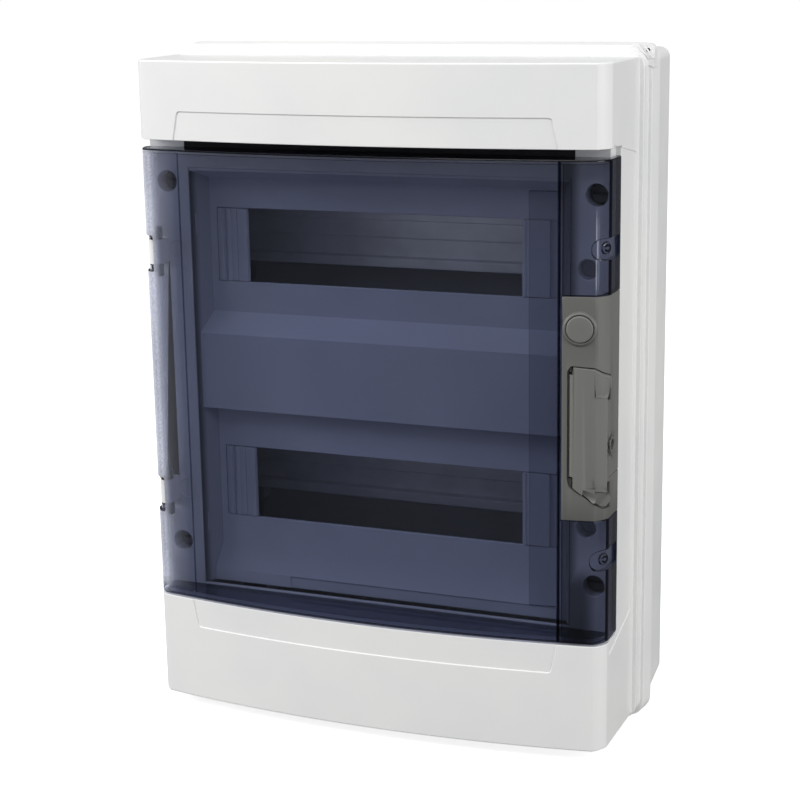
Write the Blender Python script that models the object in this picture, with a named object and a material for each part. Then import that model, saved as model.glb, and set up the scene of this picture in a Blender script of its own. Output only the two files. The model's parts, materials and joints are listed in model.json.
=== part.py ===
"""Two-row DIN-rail combiner enclosure: wall base, lift-off front cover, smoked door, latch and rails.

Frame: millimetres in this file, turned into metres when a mesh is made.  +Z is up, -Y is the
front, +X is to the right of a person facing the door.  The origin is the centre of the wall face.
"""
import math

import bmesh
import bpy
from mathutils import Matrix, Vector

for old in list(bpy.data.objects):
    bpy.data.objects.remove(old, do_unlink=True)

MM = 0.001
GAP = 0.3                      # parting gap between pieces that rest on each other

# ---- driving dimensions (mm) -------------------------------------------------
X_A, Y_A = 139.15, -138.0      # crease where the bowed front meets the corner facet
X_B, Y_B = 145.5, -128.7       # crease where the corner facet meets the side
BULGE = 11.64                  # how far the middle of the front stands in front of crease A
COVER_HALF_H = 199.0
COVER_REAR_X, COVER_REAR_Y = 146.7, -76.3
WALL = 2.5
BAND_TOP, BAND_BOTTOM = 152.4, -133.84     # door bay between the plain top and bottom bands
SHOULDER_Y = -120.6            # shoulder that the door closes over
STEP_X, STEP_Y = 142.2, -110.7  # rebate for the long wing on the latch side

DOOR_TOP, DOOR_BOTTOM, DOOR_T = 146.9, -132.56, 3.0
WING_LEFT_Y, WING_RIGHT_Y = -124.0, -111.0
PIVOT_X, PIVOT_Y = -139.5, -129.0          # door hinge axis
KNUCKLES = ((76.0, 91.0), (-75.5, -60.5))  # cover knuckles on the axis
NOTCH_OVER = 3.4                           # door notch beyond each end of a knuckle
PIN_R = 1.5

RIM_X, RIM_Z, RIM_R = 152.95, 205.9, 11.0   # base rim
BACK_X, BACK_Z = 146.2, 200.6               # base at the wall
RIM_FRONT, RIM_REAR = -66.0, -52.0

ROWS = (86.13, -63.87)         # module row centres, 150 mm pitch
WINDOW_HALF_H = 22.7
WINDOW_HALF_W = 108.2          # twelve 18 mm modules
STRIP_INNER = 87.46            # blanking strips leave ten modules open
APRON_X, APRON_TOP, APRON_BOTTOM = 119.5, 133.9, -129.2
APRON_FACE, APRON_MID = -108.1, -117.75
FACE_X = 112.67

RAIL_FRONT = -63.0             # top-hat rail brims
RAIL_HALF_L = 123.0
UPRIGHT_X = 118.0

SCREW_X, SCREW_ZS = 134.5, (125.5, -103.0)   # quarter-turn cover screws

PLATE_X0, PLATE_TOP, PLATE_BOTTOM = 120.6, 71.4, -57.9
PLATE_T = 5.0
PLUG_X, PLUG_Z, PLUG_R = 130.6, 53.3, 7.6
LEVER_X, LEVER_Y, LEVER_R = 127.2, -137.4, 3.0   # lever pivot, parallel to the door hinge
LATCH_Z = (40.0, -38.0)
PLATE_SCREW_Z = (34.6, -51.5)
SOCKET_X, SOCKET_ZS, SOCKET_R = 129.6, (83.5, -68.0), 5.9   # blind sockets level with the knuckles
EYE_Y, EYE_Z = -125.4, -15.2
STRIP_X, STRIP_Z0, STRIP_Z1 = 121.6, 144.2, 150.8          # weather strip along the top of the shoulder
DOOR_END_T, DOOR_END_Y = 2.6, -121.6                             # the door's top and bottom walls
LINE_RIB_X0, LINE_RIB_X1, LINE_RIB_DEEP = 118.0, 119.9, 2.2      # the two upright ribs inside the door


# ---- helpers -----------------------------------------------------------------
def material(name, colour, rough, metal=0.0, alpha=1.0):
    mat = bpy.data.materials.new(name)
    mat.use_nodes = True
    node = mat.node_tree.nodes["Principled BSDF"]
    node.inputs["Base Color"].default_value = (*colour, 1.0)
    node.inputs["Roughness"].default_value = rough
    node.inputs["Metallic"].default_value = metal
    node.inputs["Alpha"].default_value = alpha
    return mat


SHELL = ((0.80, 0.80, 0.78), 0.32, 0.0)
INNER = ((0.72, 0.73, 0.74), 0.45, 0.0)
SMOKE = ((0.10, 0.12, 0.22), 0.08, 0.0, 0.55)
GREY = ((0.14, 0.14, 0.13), 0.42, 0.0)
STEEL = ((0.60, 0.61, 0.62), 0.35, 1.0)
BRASS = ((0.72, 0.55, 0.24), 0.30, 1.0)
FOAM = ((0.05, 0.05, 0.05), 0.90, 0.0)


def make(name, bm):
    bmesh.ops.remove_doubles(bm, verts=bm.verts, dist=1e-5)
    bmesh.ops.recalc_face_normals(bm, faces=bm.faces)
    mesh = bpy.data.meshes.new(name)
    bm.to_mesh(mesh)
    bm.free()
    obj = bpy.data.objects.new(name, mesh)
    bpy.context.scene.collection.objects.link(obj)
    return obj


def prism(points, axis, low, high, name="tool"):
    """A polygon drawn across an axis ((x, y) for Z, (y, z) for X, (x, z) for Y), extruded from low to high."""
    def place(p, h):
        return {"Z": (p[0], p[1], h), "X": (h, p[0], p[1]), "Y": (p[0], h, p[1])}[axis]
    bm = bmesh.new()
    loops = [[bm.verts.new(Vector(place(p, h)) * MM) for p in points] for h in (low, high)]
    bm.faces.new(loops[0])
    bm.faces.new(loops[1])
    n = len(points)
    for i in range(n):
        bm.faces.new((loops[0][i], loops[0][(i + 1) % n], loops[1][(i + 1) % n], loops[1][i]))
    return make(name, bm)


def box(x0, x1, y0, y1, z0, z1, name="tool"):
    return prism([(x0, y0), (x1, y0), (x1, y1), (x0, y1)], "Z", z0, z1, name)


def circle(cx, cy, r, n, turn=0.0):
    return [(cx + r * math.cos(2 * math.pi * (i + turn) / n), cy + r * math.sin(2 * math.pi * (i + turn) / n))
            for i in range(n)]


def rod(axis, a, b, r, low, high, n=12, name="tool"):
    return prism(circle(a, b, r, n, 0.5), axis, low, high, name)


def rounded(hx, hz, r, y, cz=0.0, n=5):
    """A ring of points round a rounded rectangle in the plane Y = y."""
    ring = []
    for sx, sz, start in ((1, 1, 0), (-1, 1, 90), (-1, -1, 180), (1, -1, 270)):
        for i in range(n + 1):
            a = math.radians(start + 90 * i / n)
            ring.append((sx * (hx - r) + r * math.cos(a), y, cz + sz * (hz - r) + r * math.sin(a)))
    return ring


def skin(rings, name, closed=False):
    """Joins rings of equal length into one surface, capped at both ends or closed on itself."""
    bm = bmesh.new()
    loops = [[bm.verts.new(Vector(p) * MM) for p in ring] for ring in rings]
    n = len(loops[0])
    pairs = list(zip(loops, loops[1:])) + ([(loops[-1], loops[0])] if closed else [])
    for a, b in pairs:
        for i in range(n):
            bm.faces.new((a[i], a[(i + 1) % n], b[(i + 1) % n], b[i]))
    if not closed:
        bm.faces.new(loops[0])
        bm.faces.new(loops[-1])
    return make(name, bm)


def frame_ring(hx0, z00, z01, hx1, z10, z11, y0, y1, name="tool"):
    """A square-cornered ring: outer half width hx0 and heights z00..z01, inner hx1 and z10..z11."""
    outer = [(-hx0, z00), (hx0, z00), (hx0, z01), (-hx0, z01)]
    inner = [(-hx1, z10), (hx1, z10), (hx1, z11), (-hx1, z11)]
    rings = [[(x, y0, z) for x, z in outer], [(x, y1, z) for x, z in outer],
             [(x, y1, z) for x, z in inner], [(x, y0, z) for x, z in inner]]
    return skin(rings, name, closed=True)


def hull(points, name="tool"):
    bm = bmesh.new()
    for p in points:
        bm.verts.new(Vector(p) * MM)
    out = bmesh.ops.convex_hull(bm, input=bm.verts)
    loose = {g for g in out["geom_interior"] + out["geom_unused"] if isinstance(g, bmesh.types.BMVert)}
    bmesh.ops.delete(bm, geom=list(loose), context="VERTS")
    return make(name, bm)


def combine(target, tool, operation):
    mod = target.modifiers.new("combine", "BOOLEAN")
    mod.operation, mod.solver, mod.object = operation, "EXACT", tool
    graph = bpy.context.evaluated_depsgraph_get()
    graph.update()
    mesh = bpy.data.meshes.new_from_object(target.evaluated_get(graph), depsgraph=graph)
    target.modifiers.clear()
    old_mesh, target.data = target.data, mesh
    bpy.data.meshes.remove(old_mesh)
    bpy.data.objects.remove(tool, do_unlink=True)
    return target


def cut(target, *tools):
    for tool in tools:
        combine(target, tool, "DIFFERENCE")
    return target


def add(target, *tools):
    for tool in tools:
        combine(target, tool, "UNION")
    return target


def dress(obj, name, look, origin=(0, 0, 0), parent=None):
    """Names a finished piece, gives it its own material and moves its origin onto its joint axis."""
    obj.name = obj.data.name = name
    obj.data.materials.clear()
    obj.data.materials.append(material(name, *look))
    shift = Vector(origin) * MM
    obj.data.transform(Matrix.Translation(-shift))
    obj.location = shift
    obj.data.shade_smooth()
    obj.data.set_sharp_from_angle(angle=math.radians(32))
    return obj


def facet(inset=0.0, sign=1, n=3):
    """Points down the slightly rounded corner facet from crease A to crease B, inset from the outside."""
    ax, ay = X_A - 0.55 * inset, Y_A + 0.95 * inset
    bx, by = X_B - inset, Y_B + 0.35 * inset
    pts = []
    for i in range(n + 1):
        t = i / n
        swell = 0.9 * 4 * t * (1 - t) * (1 - inset / 12)
        pts.append((sign * (ax + (bx - ax) * t + 0.83 * swell), ay + (by - ay) * t - 0.56 * swell))
    return pts


def bow(inset=0.0, n=24, x0=None, x1=None):
    """Points along the bowed front from x0 to x1, inset from the outside."""
    edge = X_A - 0.55 * inset
    x0, x1 = (-edge if x0 is None else x0), (edge if x1 is None else x1)
    pts = []
    for i in range(n + 1):
        x = x0 + (x1 - x0) * i / n
        pts.append((x, Y_A + inset - BULGE * (1 - (x / X_A) ** 2) - (0.05 * inset if abs(x) >= edge - 1e-6 else 0)))
    return pts


def front_y(x):
    return Y_A - BULGE * (1 - (x / X_A) ** 2)


def plan(inset, left_rear, right_rear):
    """The outline in plan from the left rear round the front to the right rear."""
    left = [left_rear] + list(reversed(facet(inset, -1)))
    right = facet(inset, 1) + [right_rear]
    return left[:-1] + bow(inset) + right[1:]


# ---- rear enclosure ------------------------------------------------------------
base = skin([
    rounded(BACK_X - 2.0, BACK_Z - 2.0, 5.0, 0.0),
    rounded(BACK_X, BACK_Z, 6.5, -2.0),
    rounded(149.8, 201.9, 8.0, RIM_REAR),
    rounded(RIM_X, RIM_Z, RIM_R, RIM_REAR - 0.8),
    rounded(RIM_X, RIM_Z, RIM_R, RIM_FRONT),
    rounded(149.3, 202.0, 9.0, RIM_FRONT),
    rounded(149.3, 202.0, 9.0, -71.5),
    rounded(146.2, 198.9, 8.0, -71.5),
    rounded(146.2, 198.9, 8.0, -60.0),
    rounded(143.2, 197.6, 5.0, -3.0),
], "rear_enclosure")
for sx in (-1, 1):
    for z in SCREW_ZS:                       # posts that take the cover screws
        add(base, rod("Y", sx * SCREW_X, z, 5.2, -95.0, -2.0))
        cut(base, rod("Y", sx * SCREW_X, z, 2.6, -96.0, -74.0))
    for sz in (-1, 1):                       # posts under the uprights, and wall fixing holes
        add(base, rod("Y", sx * UPRIGHT_X, sz * 160.0, 6.0, -52.9, -2.0))
        cut(base, rod("Y", sx * UPRIGHT_X, sz * 160.0, 2.2, -54.0, -36.0))
        cut(base, rod("Y", sx * 96.0, sz * 178.0, 3.0, -10.0, 5.0))
for sx in (-1, 1):                           # posts under the terminal carrier
    add(base, rod("Y", sx * 60.0, -150.0, 5.0, -24.7, -2.0))
    cut(base, rod("Y", sx * 60.0, -150.0, 1.9, -26.0, -12.0))
for sz, entries in ((-1, ((-84.0, 12.5), (-42.0, 16.0), (0.0, 10.0), (42.0, 16.0), (84.0, 12.5))),
                    (1, ((-60.0, 12.5), (60.0, 12.5)))):
    for x, r in entries:                     # thin rings that let a cable entry be knocked out
        low, high = (199.8, 206.0) if sz > 0 else (-206.0, -199.8)
        ring = rod("Z", x, -27.0, r, low, high, 20)
        cut(ring, rod("Z", x, -27.0, r - 1.2, low - 1, high + 1, 20))
        cut(base, ring)
dress(base, "rear_enclosure", SHELL)

gasket = skin([rounded(147.8, 200.6, 8.3, -74.5), rounded(147.8, 200.6, 8.3, -71.8),
               rounded(146.2, 198.9, 8.0, -71.8), rounded(146.2, 198.9, 8.0, -74.5)], "g", closed=True)
dress(gasket, "enclosure_gasket", FOAM)

# ---- rails inside ---------------------------------------------------------------
for sx, side in ((-1, "left"), (1, "right")):
    x = sx * UPRIGHT_X
    up = box(x - 8, x + 8, -55.2, -53.2, -172, 172)
    add(up, box(x + sx * 6.2, x + sx * 8, -55.2, -46.0, -172, 172))
    for z in (160.0, -160.0) + ROWS:
        cut(up, rod("Y", x, z, 2.4, -58, -50))
    dress(up, "upright_" + side, STEEL)
    for sz, where in ((1, "top"), (-1, "bottom")):
        screw = rod("Y", x, sz * 160.0, 4.2, -58.2, -55.5)
        add(screw, rod("Y", x, sz * 160.0, 1.9, -56.0, -40.0))
        cut(screw, box(x - 3.2, x + 3.2, -59, -57.2, sz * 160.0 - 0.6, sz * 160.0 + 0.6))
        dress(screw, "upright_screw_%s_%s" % (side, where), STEEL)
for z, row in zip(ROWS, ("upper", "lower")):
    f = RAIL_FRONT
    hat = [(f, z - 17.5), (f + 1, z - 17.5), (f + 1, z - 12.5), (f + 7.5, z - 12.5), (f + 7.5, z + 12.5),
           (f + 1, z + 12.5), (f + 1, z + 17.5), (f, z + 17.5), (f, z + 11.5), (f + 6.5, z + 11.5),
           (f + 6.5, z - 11.5), (f, z - 11.5)]
    rail = prism(hat, "X", -RAIL_HALF_L, RAIL_HALF_L)
    for sx in (-1, 1):
        cut(rail, rod("Y", sx * UPRIGHT_X, z, 2.4, -60, -50))
    dress(rail, "din_rail_" + row, STEEL)
    for sx, side in ((-1, "left"), (1, "right")):
        x = sx * UPRIGHT_X
        screw = rod("Y", x, z, 4.2, -59.2, -56.8)
        add(screw, rod("Y", x, z, 2.0, -57.5, -45.0))
        cut(screw, box(x - 3.2, x + 3.2, -60, -58.3, z - 0.6, z + 0.6))
        dress(screw, "rail_screw_%s_%s" % (row, side), STEEL)

# ---- earth and return bars -------------------------------------------------------
carrier = box(-104, 104, -29.0, -25.0, -158, -142)
for x0, x1 in ((-102, -8), (8, 102)):
    add(carrier, box(x0, x0 + 4, -40.0, -28.0, -157, -143), box(x1 - 4, x1, -40.0, -28.0, -157, -143))
    cut(carrier, box(x0 - 1, x1 + 1, -38.3, -30.7, -154.6, -145.4))
for sx in (-1, 1):
    cut(carrier, rod("Y", sx * 60, -150, 2.1, -30, -20))
dress(carrier, "terminal_carrier", ((0.10, 0.22, 0.13), 0.5, 0.0))
for sx, side in ((-1, "left"), (1, "right")):
    screw = rod("Y", sx * 60, -150, 1.6, -29.5, -14.0)
    add(screw, rod("Y", sx * 60, -150, 3.2, -30.4, -29.3))
    dress(screw, "carrier_screw_" + side, STEEL)
for name, x0, x1 in (("earth_bar", -100.0, -10.0), ("return_bar", 10.0, 100.0)):
    bar = box(x0, x1, -38.0, -31.0, -154.3, -145.7)
    for i in range(7):
        x = x0 + 12 + 11 * i
        cut(bar, rod("Z", x, -34.0, 2.0, -156, -144, 8))
        if i % 2 == 0:
            cut(bar, rod("Y", x, -150.0, 1.95, -40, -33.0, 8))
    dress(bar, name, BRASS)
    for i in range(0, 7, 2):
        x = x0 + 12 + 11 * i
        screw = rod("Y", x, -150.0, 1.6, -40.6, -35.4, 8)
        add(screw, rod("Y", x, -150.0, 2.5, -41.6, -38.3, 12))
        cut(screw, box(x - 3, x + 3, -42, -41.0, -150.4, -149.6))
        dress(screw, "%s_screw_%d" % (name, i // 2 + 1), STEEL)

for sx, side in ((-1, "left"), (1, "right")):
    for sz, where in ((1, "top"), (-1, "bottom")):   # insulating caps over the wall fixings
        cap = rod("Y", sx * 96.0, sz * 178.0, 6.0, -6.5, -3.3)
        add(cap, rod("Y", sx * 96.0, sz * 178.0, 2.7, -4.0, -0.6))
        dress(cap, "wall_fixing_cap_%s_%s" % (side, where), SHELL)

# ---- front cover -------------------------------------------------------------------
outer = plan(0.0, (-COVER_REAR_X, -75.5), (COVER_REAR_X, -75.5))
cover = prism(outer, "Z", -COVER_HALF_H, COVER_HALF_H, "front_cover")
cut(cover, box(-170, 170, -170, SHOULDER_Y, BAND_BOTTOM, BAND_TOP),
    box(STEP_X, 170, -130, STEP_Y, BAND_BOTTOM, BAND_TOP))
hollow = prism(plan(WALL, (-COVER_REAR_X + WALL, -60.0), (COVER_REAR_X - WALL, -60.0)), "Z",
               -COVER_HALF_H + WALL, COVER_HALF_H - WALL)
cut(hollow, box(-170, 170, -170, SHOULDER_Y + WALL, BAND_BOTTOM - WALL, BAND_TOP + WALL),
    box(STEP_X - WALL, 170, -130, STEP_Y + WALL, BAND_BOTTOM - WALL, BAND_TOP + WALL))
cut(cover, hollow)
cut(cover, box(-119.9, 119.9, -125, -110, -129.5, 134.2))
flange = skin([rounded(149.5, 202.3, 9.0, -76.3), rounded(149.5, 202.3, 9.0, -72.2),
               rounded(148.1, 200.9, 8.5, -72.2), rounded(148.1, 200.9, 8.5, -74.8),
               rounded(145.9, 198.6, 7.7, -74.8), rounded(145.9, 198.6, 7.7, -70.5),
               rounded(143.6, 196.2, 6.5, -70.5), rounded(143.6, 196.2, 6.5, -76.3)], "tool", closed=True)
add(cover, flange)
for sx in (-1, 1):
    for z in SCREW_ZS:                                   # screw wells
        add(cover, rod("Y", sx * SCREW_X, z, 8.0, -118.6, -97.0, 16))
        cut(cover, rod("Y", sx * SCREW_X, z, 6.5, -122.0, -100.0, 16), rod("Y", sx * SCREW_X, z, 2.6, -101, -96))
    for z in SOCKET_ZS:                                  # blind sockets, left as shallow blanks on the hinge side
        add(cover, rod("Y", sx * SOCKET_X, z, 7.3, -118.6, -107.0, 16))
        cut(cover, rod("Y", sx * SOCKET_X, z, SOCKET_R, -122.0, -109.0 if sx > 0 else -120.0, 16))
cut(cover, box(-STRIP_X - GAP, STRIP_X + GAP, -125, -119.4, STRIP_Z0 - GAP, STRIP_Z1 + GAP))
for low, high in KNUCKLES:                               # hinge knuckles
    add(cover, box(PIVOT_X - 4.0, PIVOT_X + 4.0, PIVOT_Y, SHOULDER_Y + 1.0, low, high),
        rod("Z", PIVOT_X, PIVOT_Y, 4.3, low, high, 16))
    cut(cover, rod("Z", PIVOT_X, PIVOT_Y, PIN_R + 0.15, low - 1, high + 1, 16))
for z in LATCH_Z:                                        # slots for the latch hooks
    cut(cover, box(128.8, 137.2, -125, -110, z - 4.2, z + 12.4))
dress(cover, "front_cover", SHELL)
dress(box(-STRIP_X, STRIP_X, -121.0, -119.7, STRIP_Z0, STRIP_Z1), "door_weather_strip", FOAM)

for sx, side in ((-1, "left"), (1, "right")):
    for z, where in zip(SCREW_ZS, ("top", "bottom")):
        x = sx * SCREW_X
        washer = rod("Y", x, z, 5.4, -102.1, -100.3)
        cut(washer, rod("Y", x, z, 2.9, -103, -99))
        dress(washer, "cover_screw_washer_%s_%s" % (side, where), FOAM)
        screw = rod("Y", x, z, 5.6, -112.0, -102.4)
        add(screw, rod("Y", x, z, 2.2, -103.0, -78.0))
        cut(screw, box(x - 4.5, x + 4.5, -113, -110.4, z - 0.8, z + 0.8))
        dress(screw, "cover_screw_%s_%s" % (side, where), GREY, (x, -105.0, z))

# ---- apron with its two module windows ------------------------------------------------
F, M, T = APRON_FACE, APRON_MID, 2.5
face = [(F, APRON_TOP), (F, 44.6), (M, 32.1), (M, -15.44), (F, -16.6), (F, -104.96), (-113.84, -121.14),
        (-113.84, APRON_BOTTOM)]
back = [(-113.84 + T, APRON_BOTTOM), (-113.84 + T, -120.0), (F + T, -103.0), (F + T, -14.4), (M + T, -13.2),
        (M + T, 31.0), (F + T, 43.2), (F + T, APRON_TOP)]
apron = prism(face + back, "X", -APRON_X, APRON_X, "apron")
for sx in (-1, 1):
    add(apron, prism([(sx * FACE_X, F), (sx * APRON_X, SHOULDER_Y), (sx * APRON_X, F + 2.0), (sx * FACE_X, F + 2.0)],
                     "Z", APRON_BOTTOM, APRON_TOP))
add(apron, prism([(F, 126.74), (SHOULDER_Y, 132.4), (SHOULDER_Y, APRON_TOP), (F + 1.0, APRON_TOP), (F + 1.0, 126.74)],
                 "X", -APRON_X, APRON_X))
for sx in (-1, 1):                                       # snap tabs behind the cover face
    for z in (100.0, -90.0):
        add(apron, box(sx * 117.0, sx * 122.6, -117.6, -115.2, z - 6, z + 6) if sx > 0 else
            box(-122.6, -117.0, -117.6, -115.2, z - 6, z + 6))
for z in ROWS:
    cut(apron, box(-WINDOW_HALF_W, WINDOW_HALF_W, -125, -100, z - WINDOW_HALF_H, z + WINDOW_HALF_H))
dress(apron, "module_apron", INNER)

for z, row in zip(ROWS, ("upper", "lower")):
    for sx, side in ((-1, "left"), (1, "right")):
        a, b = sorted((sx * STRIP_INNER, sx * (WINDOW_HALF_W - GAP)))
        h = WINDOW_HALF_H - GAP
        strip = box(a, b, F + 0.1, F + 2.1, z - h, z + h)
        for i in range(3):                               # break-off ribs, half a module apart
            x = sx * (STRIP_INNER + 4.0 + 5.2 * i)
            add(strip, box(x - 0.8, x + 0.8, F - 0.8, F + 1.0, z - h, z + h))
        dress(strip, "blanking_strip_%s_%s" % (row, side), INNER)

# ---- door --------------------------------------------------------------------------------
outer = plan(0.0, (-X_B, WING_LEFT_Y), (X_B + 0.2, WING_RIGHT_Y))
inner = plan(DOOR_T, (-X_B + DOOR_T, WING_LEFT_Y), (X_B + 0.2 - DOOR_T, WING_RIGHT_Y))
door = prism(outer + inner[::-1], "Z", DOOR_BOTTOM, DOOR_TOP, "door_panel")
for sx in (-1, 1):
    a, b = sorted((sx * LINE_RIB_X0, sx * LINE_RIB_X1))
    root = front_y(LINE_RIB_X1) + DOOR_T
    add(door, box(a, b, root - 1.2, root + LINE_RIB_DEEP, DOOR_BOTTOM + 1.2, DOOR_TOP - 1.2))
for low, high in ((DOOR_BOTTOM, DOOR_BOTTOM + DOOR_END_T), (DOOR_TOP - DOOR_END_T, DOOR_TOP)):       # end walls
    add(door, prism(plan(1.0, (-143.5, WING_LEFT_Y), (143.5, DOOR_END_Y)) + [(-140.5, DOOR_END_Y)], "Z", low, high))
for low, high in KNUCKLES:
    cut(door, box(-160, -136.4, -150, -118, low - NOTCH_OVER, high + NOTCH_OVER))
    for a, b in ((high + 0.4, high + 7.4), (low - 7.4, low - 0.4)):
        add(door, rod("Z", PIVOT_X, PIVOT_Y, 4.2, a, b, 16))
        cut(door, rod("Z", PIVOT_X, PIVOT_Y, PIN_R + 0.15, a - 1, b + 1, 16))
for z in (122.8, -106.6):                                # small tapered notches in the hinge-side edge
    cut(door, prism([(-150.0, z + 3.8), (-143.7, z + 1.8), (-143.7, z - 1.8), (-150.0, z - 3.8)], "Y", -150, -118))
cut(door, box(120.3, 170, -160, -100, PLATE_BOTTOM - GAP, PLATE_TOP + GAP))
dress(door, "door_panel", SMOKE, (PIVOT_X, PIVOT_Y, 0))
for (low, high), where in zip(KNUCKLES, ("upper", "lower")):
    dress(rod("Z", PIVOT_X, PIVOT_Y, PIN_R, low - 7.0, high + 7.0, 16), "hinge_pin_" + where, STEEL,
          (PIVOT_X, PIVOT_Y, 0))

# ---- latch plate, lock blank and pull lever ----------------------------------------------
def corner_slab(x0, out, deep, end, n=6):
    """A curved slab in plan along the front from x0, round the facet, to the point end."""
    outer_pts = bow(-out, n, x0, X_A + 0.55 * out)[:-1] + facet(-out, 1)
    inner_pts = bow(deep, n, x0, X_A - 0.55 * deep)[:-1] + facet(deep, 1)
    if end is None:
        return outer_pts + inner_pts[::-1]
    return outer_pts + [(X_B + out + 0.2, end), (X_B - deep + 0.2, end)] + inner_pts[::-1]


plate = prism(corner_slab(PLATE_X0, 0.0, PLATE_T, WING_RIGHT_Y), "Z", PLATE_BOTTOM, PLATE_TOP, "latch_plate")
tilt = math.atan(2 * BULGE * PLUG_X / X_A ** 2)          # the front's slope where the lock blank sits
plug_y = front_y(PLUG_X)


def tilted_rod(r, low, high, n=24):
    """A short rod along the plate's own normal at the lock position; low and high run inwards."""
    tool = rod("Y", 0, 0, r, low, high, n)
    tool.data.transform(Matrix.Translation(Vector((PLUG_X, plug_y, PLUG_Z)) * MM) @ Matrix.Rotation(tilt, 4, "Z"))
    return tool


ring = tilted_rod(9.7, -1.2, 2.0)
add(plate, ring)
cut(plate, tilted_rod(PLUG_R + 0.25, -6.0, 12.0), tilted_rod(9.5, 4.9, 14.0))
lever_outline = [(LEVER_X - 3.0, 27.2), (LEVER_X + 0.6, 31.3), (139.0, 30.4), (145.8, 25.1), (146.6, 24.6), (146.6, 18.9),
                 (140.0, 14.4), (139.7, -41.0), (140.4, -46.4), (139.0, -47.0), (130.2, -40.4), (126.2, -36.6),
                 (LEVER_X - 3.0, -32.0)]
pocket_outline = [(LEVER_X - 3.5, 29.2), (LEVER_X - 1.9, 32.0), (139.2, 31.1), (146.2, 25.7), (152, 25.0), (152, -51.2),
                  (142.9, -51.4), (139.2, -48.4), (129.6, -41.2), (125.2, -38.3), (LEVER_X - 3.5, -34.5)]
slab = prism(corner_slab(122.0, 3.0, 2.5, Y_B + 0.8), "Z", -60, 60)
pocket = prism(pocket_outline, "Y", -160, -100)
combine(pocket, slab, "INTERSECT")
cut(pocket, box(143.3, 160, -150, -100, -36.0, 11.6))             # the corner stays full behind the lever's free edge
add(pocket, prism([(LEVER_X + 3.3 * math.cos(math.radians(a)), LEVER_Y + 3.3 * math.sin(math.radians(a)))
                   for a in range(0, 360, 24)], "Z", -32.3, 27.0))
cut(plate, pocket)
add(plate, rod("X", EYE_Y, EYE_Z, 5.6, 144.0, 146.2, 24))        # sealing eye on the side of the plate
cut(plate, rod("X", EYE_Y, EYE_Z, 4.2, 143.2, 147.0, 24))
cut(plate, rod("Z", LEVER_X, LEVER_Y, 1.35, -45.0, 37.5))
cut(plate, box(118, 142.6, -121.0, -100, -70, 80))               # the wing is thinner where it passes the cover
for z in PLATE_SCREW_Z:                                        # screw bosses on the back
    add(plate, rod("Y", 126.0, z, 2.6, -136.0, -128.2))
    cut(plate, rod("Y", 126.0, z, 1.3, -134.5, -128.0))
dress(plate, "latch_plate", GREY, (PIVOT_X, PIVOT_Y, 0))

plug = tilted_rod(PLUG_R, -1.6, 5.6)
add(plug, tilted_rod(9.0, 5.3, 6.3))
dress(plug, "lock_blank", GREY, (PIVOT_X, PIVOT_Y, 0))

lever = prism(lever_outline, "Y", -160, -100, "lever")
slab = prism(corner_slab(LEVER_X, 1.1, 1.6, None), "Z", -60, 60)
combine(lever, slab, "INTERSECT")
add(lever, prism([(LEVER_X + 2.9 * math.cos(math.radians(a)), LEVER_Y + 2.9 * math.sin(math.radians(a)))
                  for a in range(0, 360, 24)], "Z", -31.9, 26.4))
paddle = prism([(139.2, -138.4), (139.6, -139.05), (139.76, -139.04), (146.3, -137.9), (146.4, -137.2), (145.7, -136.5),
                (139.4, -137.4)], "Z", -40.0, 14.6)
web = hull([(139.5, -139.15, 14.7), (146.3, -137.8, 15.0), (146.1, -129.7, 19.2),
            (139.5, -137.7, 13.0), (146.0, -136.7, 13.2), (145.3, -129.4, 17.6)])
tail = hull([(139.0, -139.1, -38.0), (146.3, -137.8, -38.4), (147.5, -133.4, -44.2), (147.0, -131.6, -46.4),
             (145.0, -133.9, -49.4), (142.2, -136.2, -49.0), (139.2, -138.4, -46.4),
             (138.8, -137.2, -38.0), (145.3, -136.3, -38.4), (146.4, -131.0, -46.0), (142.0, -134.6, -48.6)])
add(lever, paddle, web, tail)
cut(lever, rod("Z", LEVER_X, LEVER_Y, 1.3, -40, 40))
dress(lever, "pull_lever", GREY, (LEVER_X, LEVER_Y, 0))
dress(rod("Z", LEVER_X, LEVER_Y, 1.15, -44.5, 37.0, name="p"), "lever_pin", STEEL, (PIVOT_X, PIVOT_Y, 0))

slide = box(130.0, 136.5, -131.6, -129.4, -46.0, 46.0)
for z in LATCH_Z:
    add(slide, box(130.5, 135.8, -130.0, -114.6, z - 3, z + 3), box(130.5, 135.8, -117.7, -114.6, z - 10, z + 3))
dress(slide, "latch_slide", GREY, (133.0, -130.5, 0))
keep = box(123.4, 139.2, -127.9, -126.3, -55.5, 66.4)
add(keep, box(130.0, 136.5, -131.8, -126.3, 64.9, 66.4))       # folded lip that the spring pushes on
for z in LATCH_Z:
    cut(keep, box(129.8, 136.5, -131, -125, z - 4.0, z + 12.2))
for z in PLATE_SCREW_Z:
    cut(keep, rod("Y", 126.0, z, 1.6, -130, -126))
dress(keep, "latch_keeper_plate", STEEL, (PIVOT_X, PIVOT_Y, 0))
for z, where in zip(PLATE_SCREW_Z, ("upper", "lower")):
    screw = rod("Y", 126.0, z, 1.1, -133.5, -125.8, 12)
    add(screw, rod("Y", 126.0, z, 2.2, -126.0, -124.4, 12))
    dress(screw, "latch_screw_" + where, STEEL, (PIVOT_X, PIVOT_Y, 0))


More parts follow.
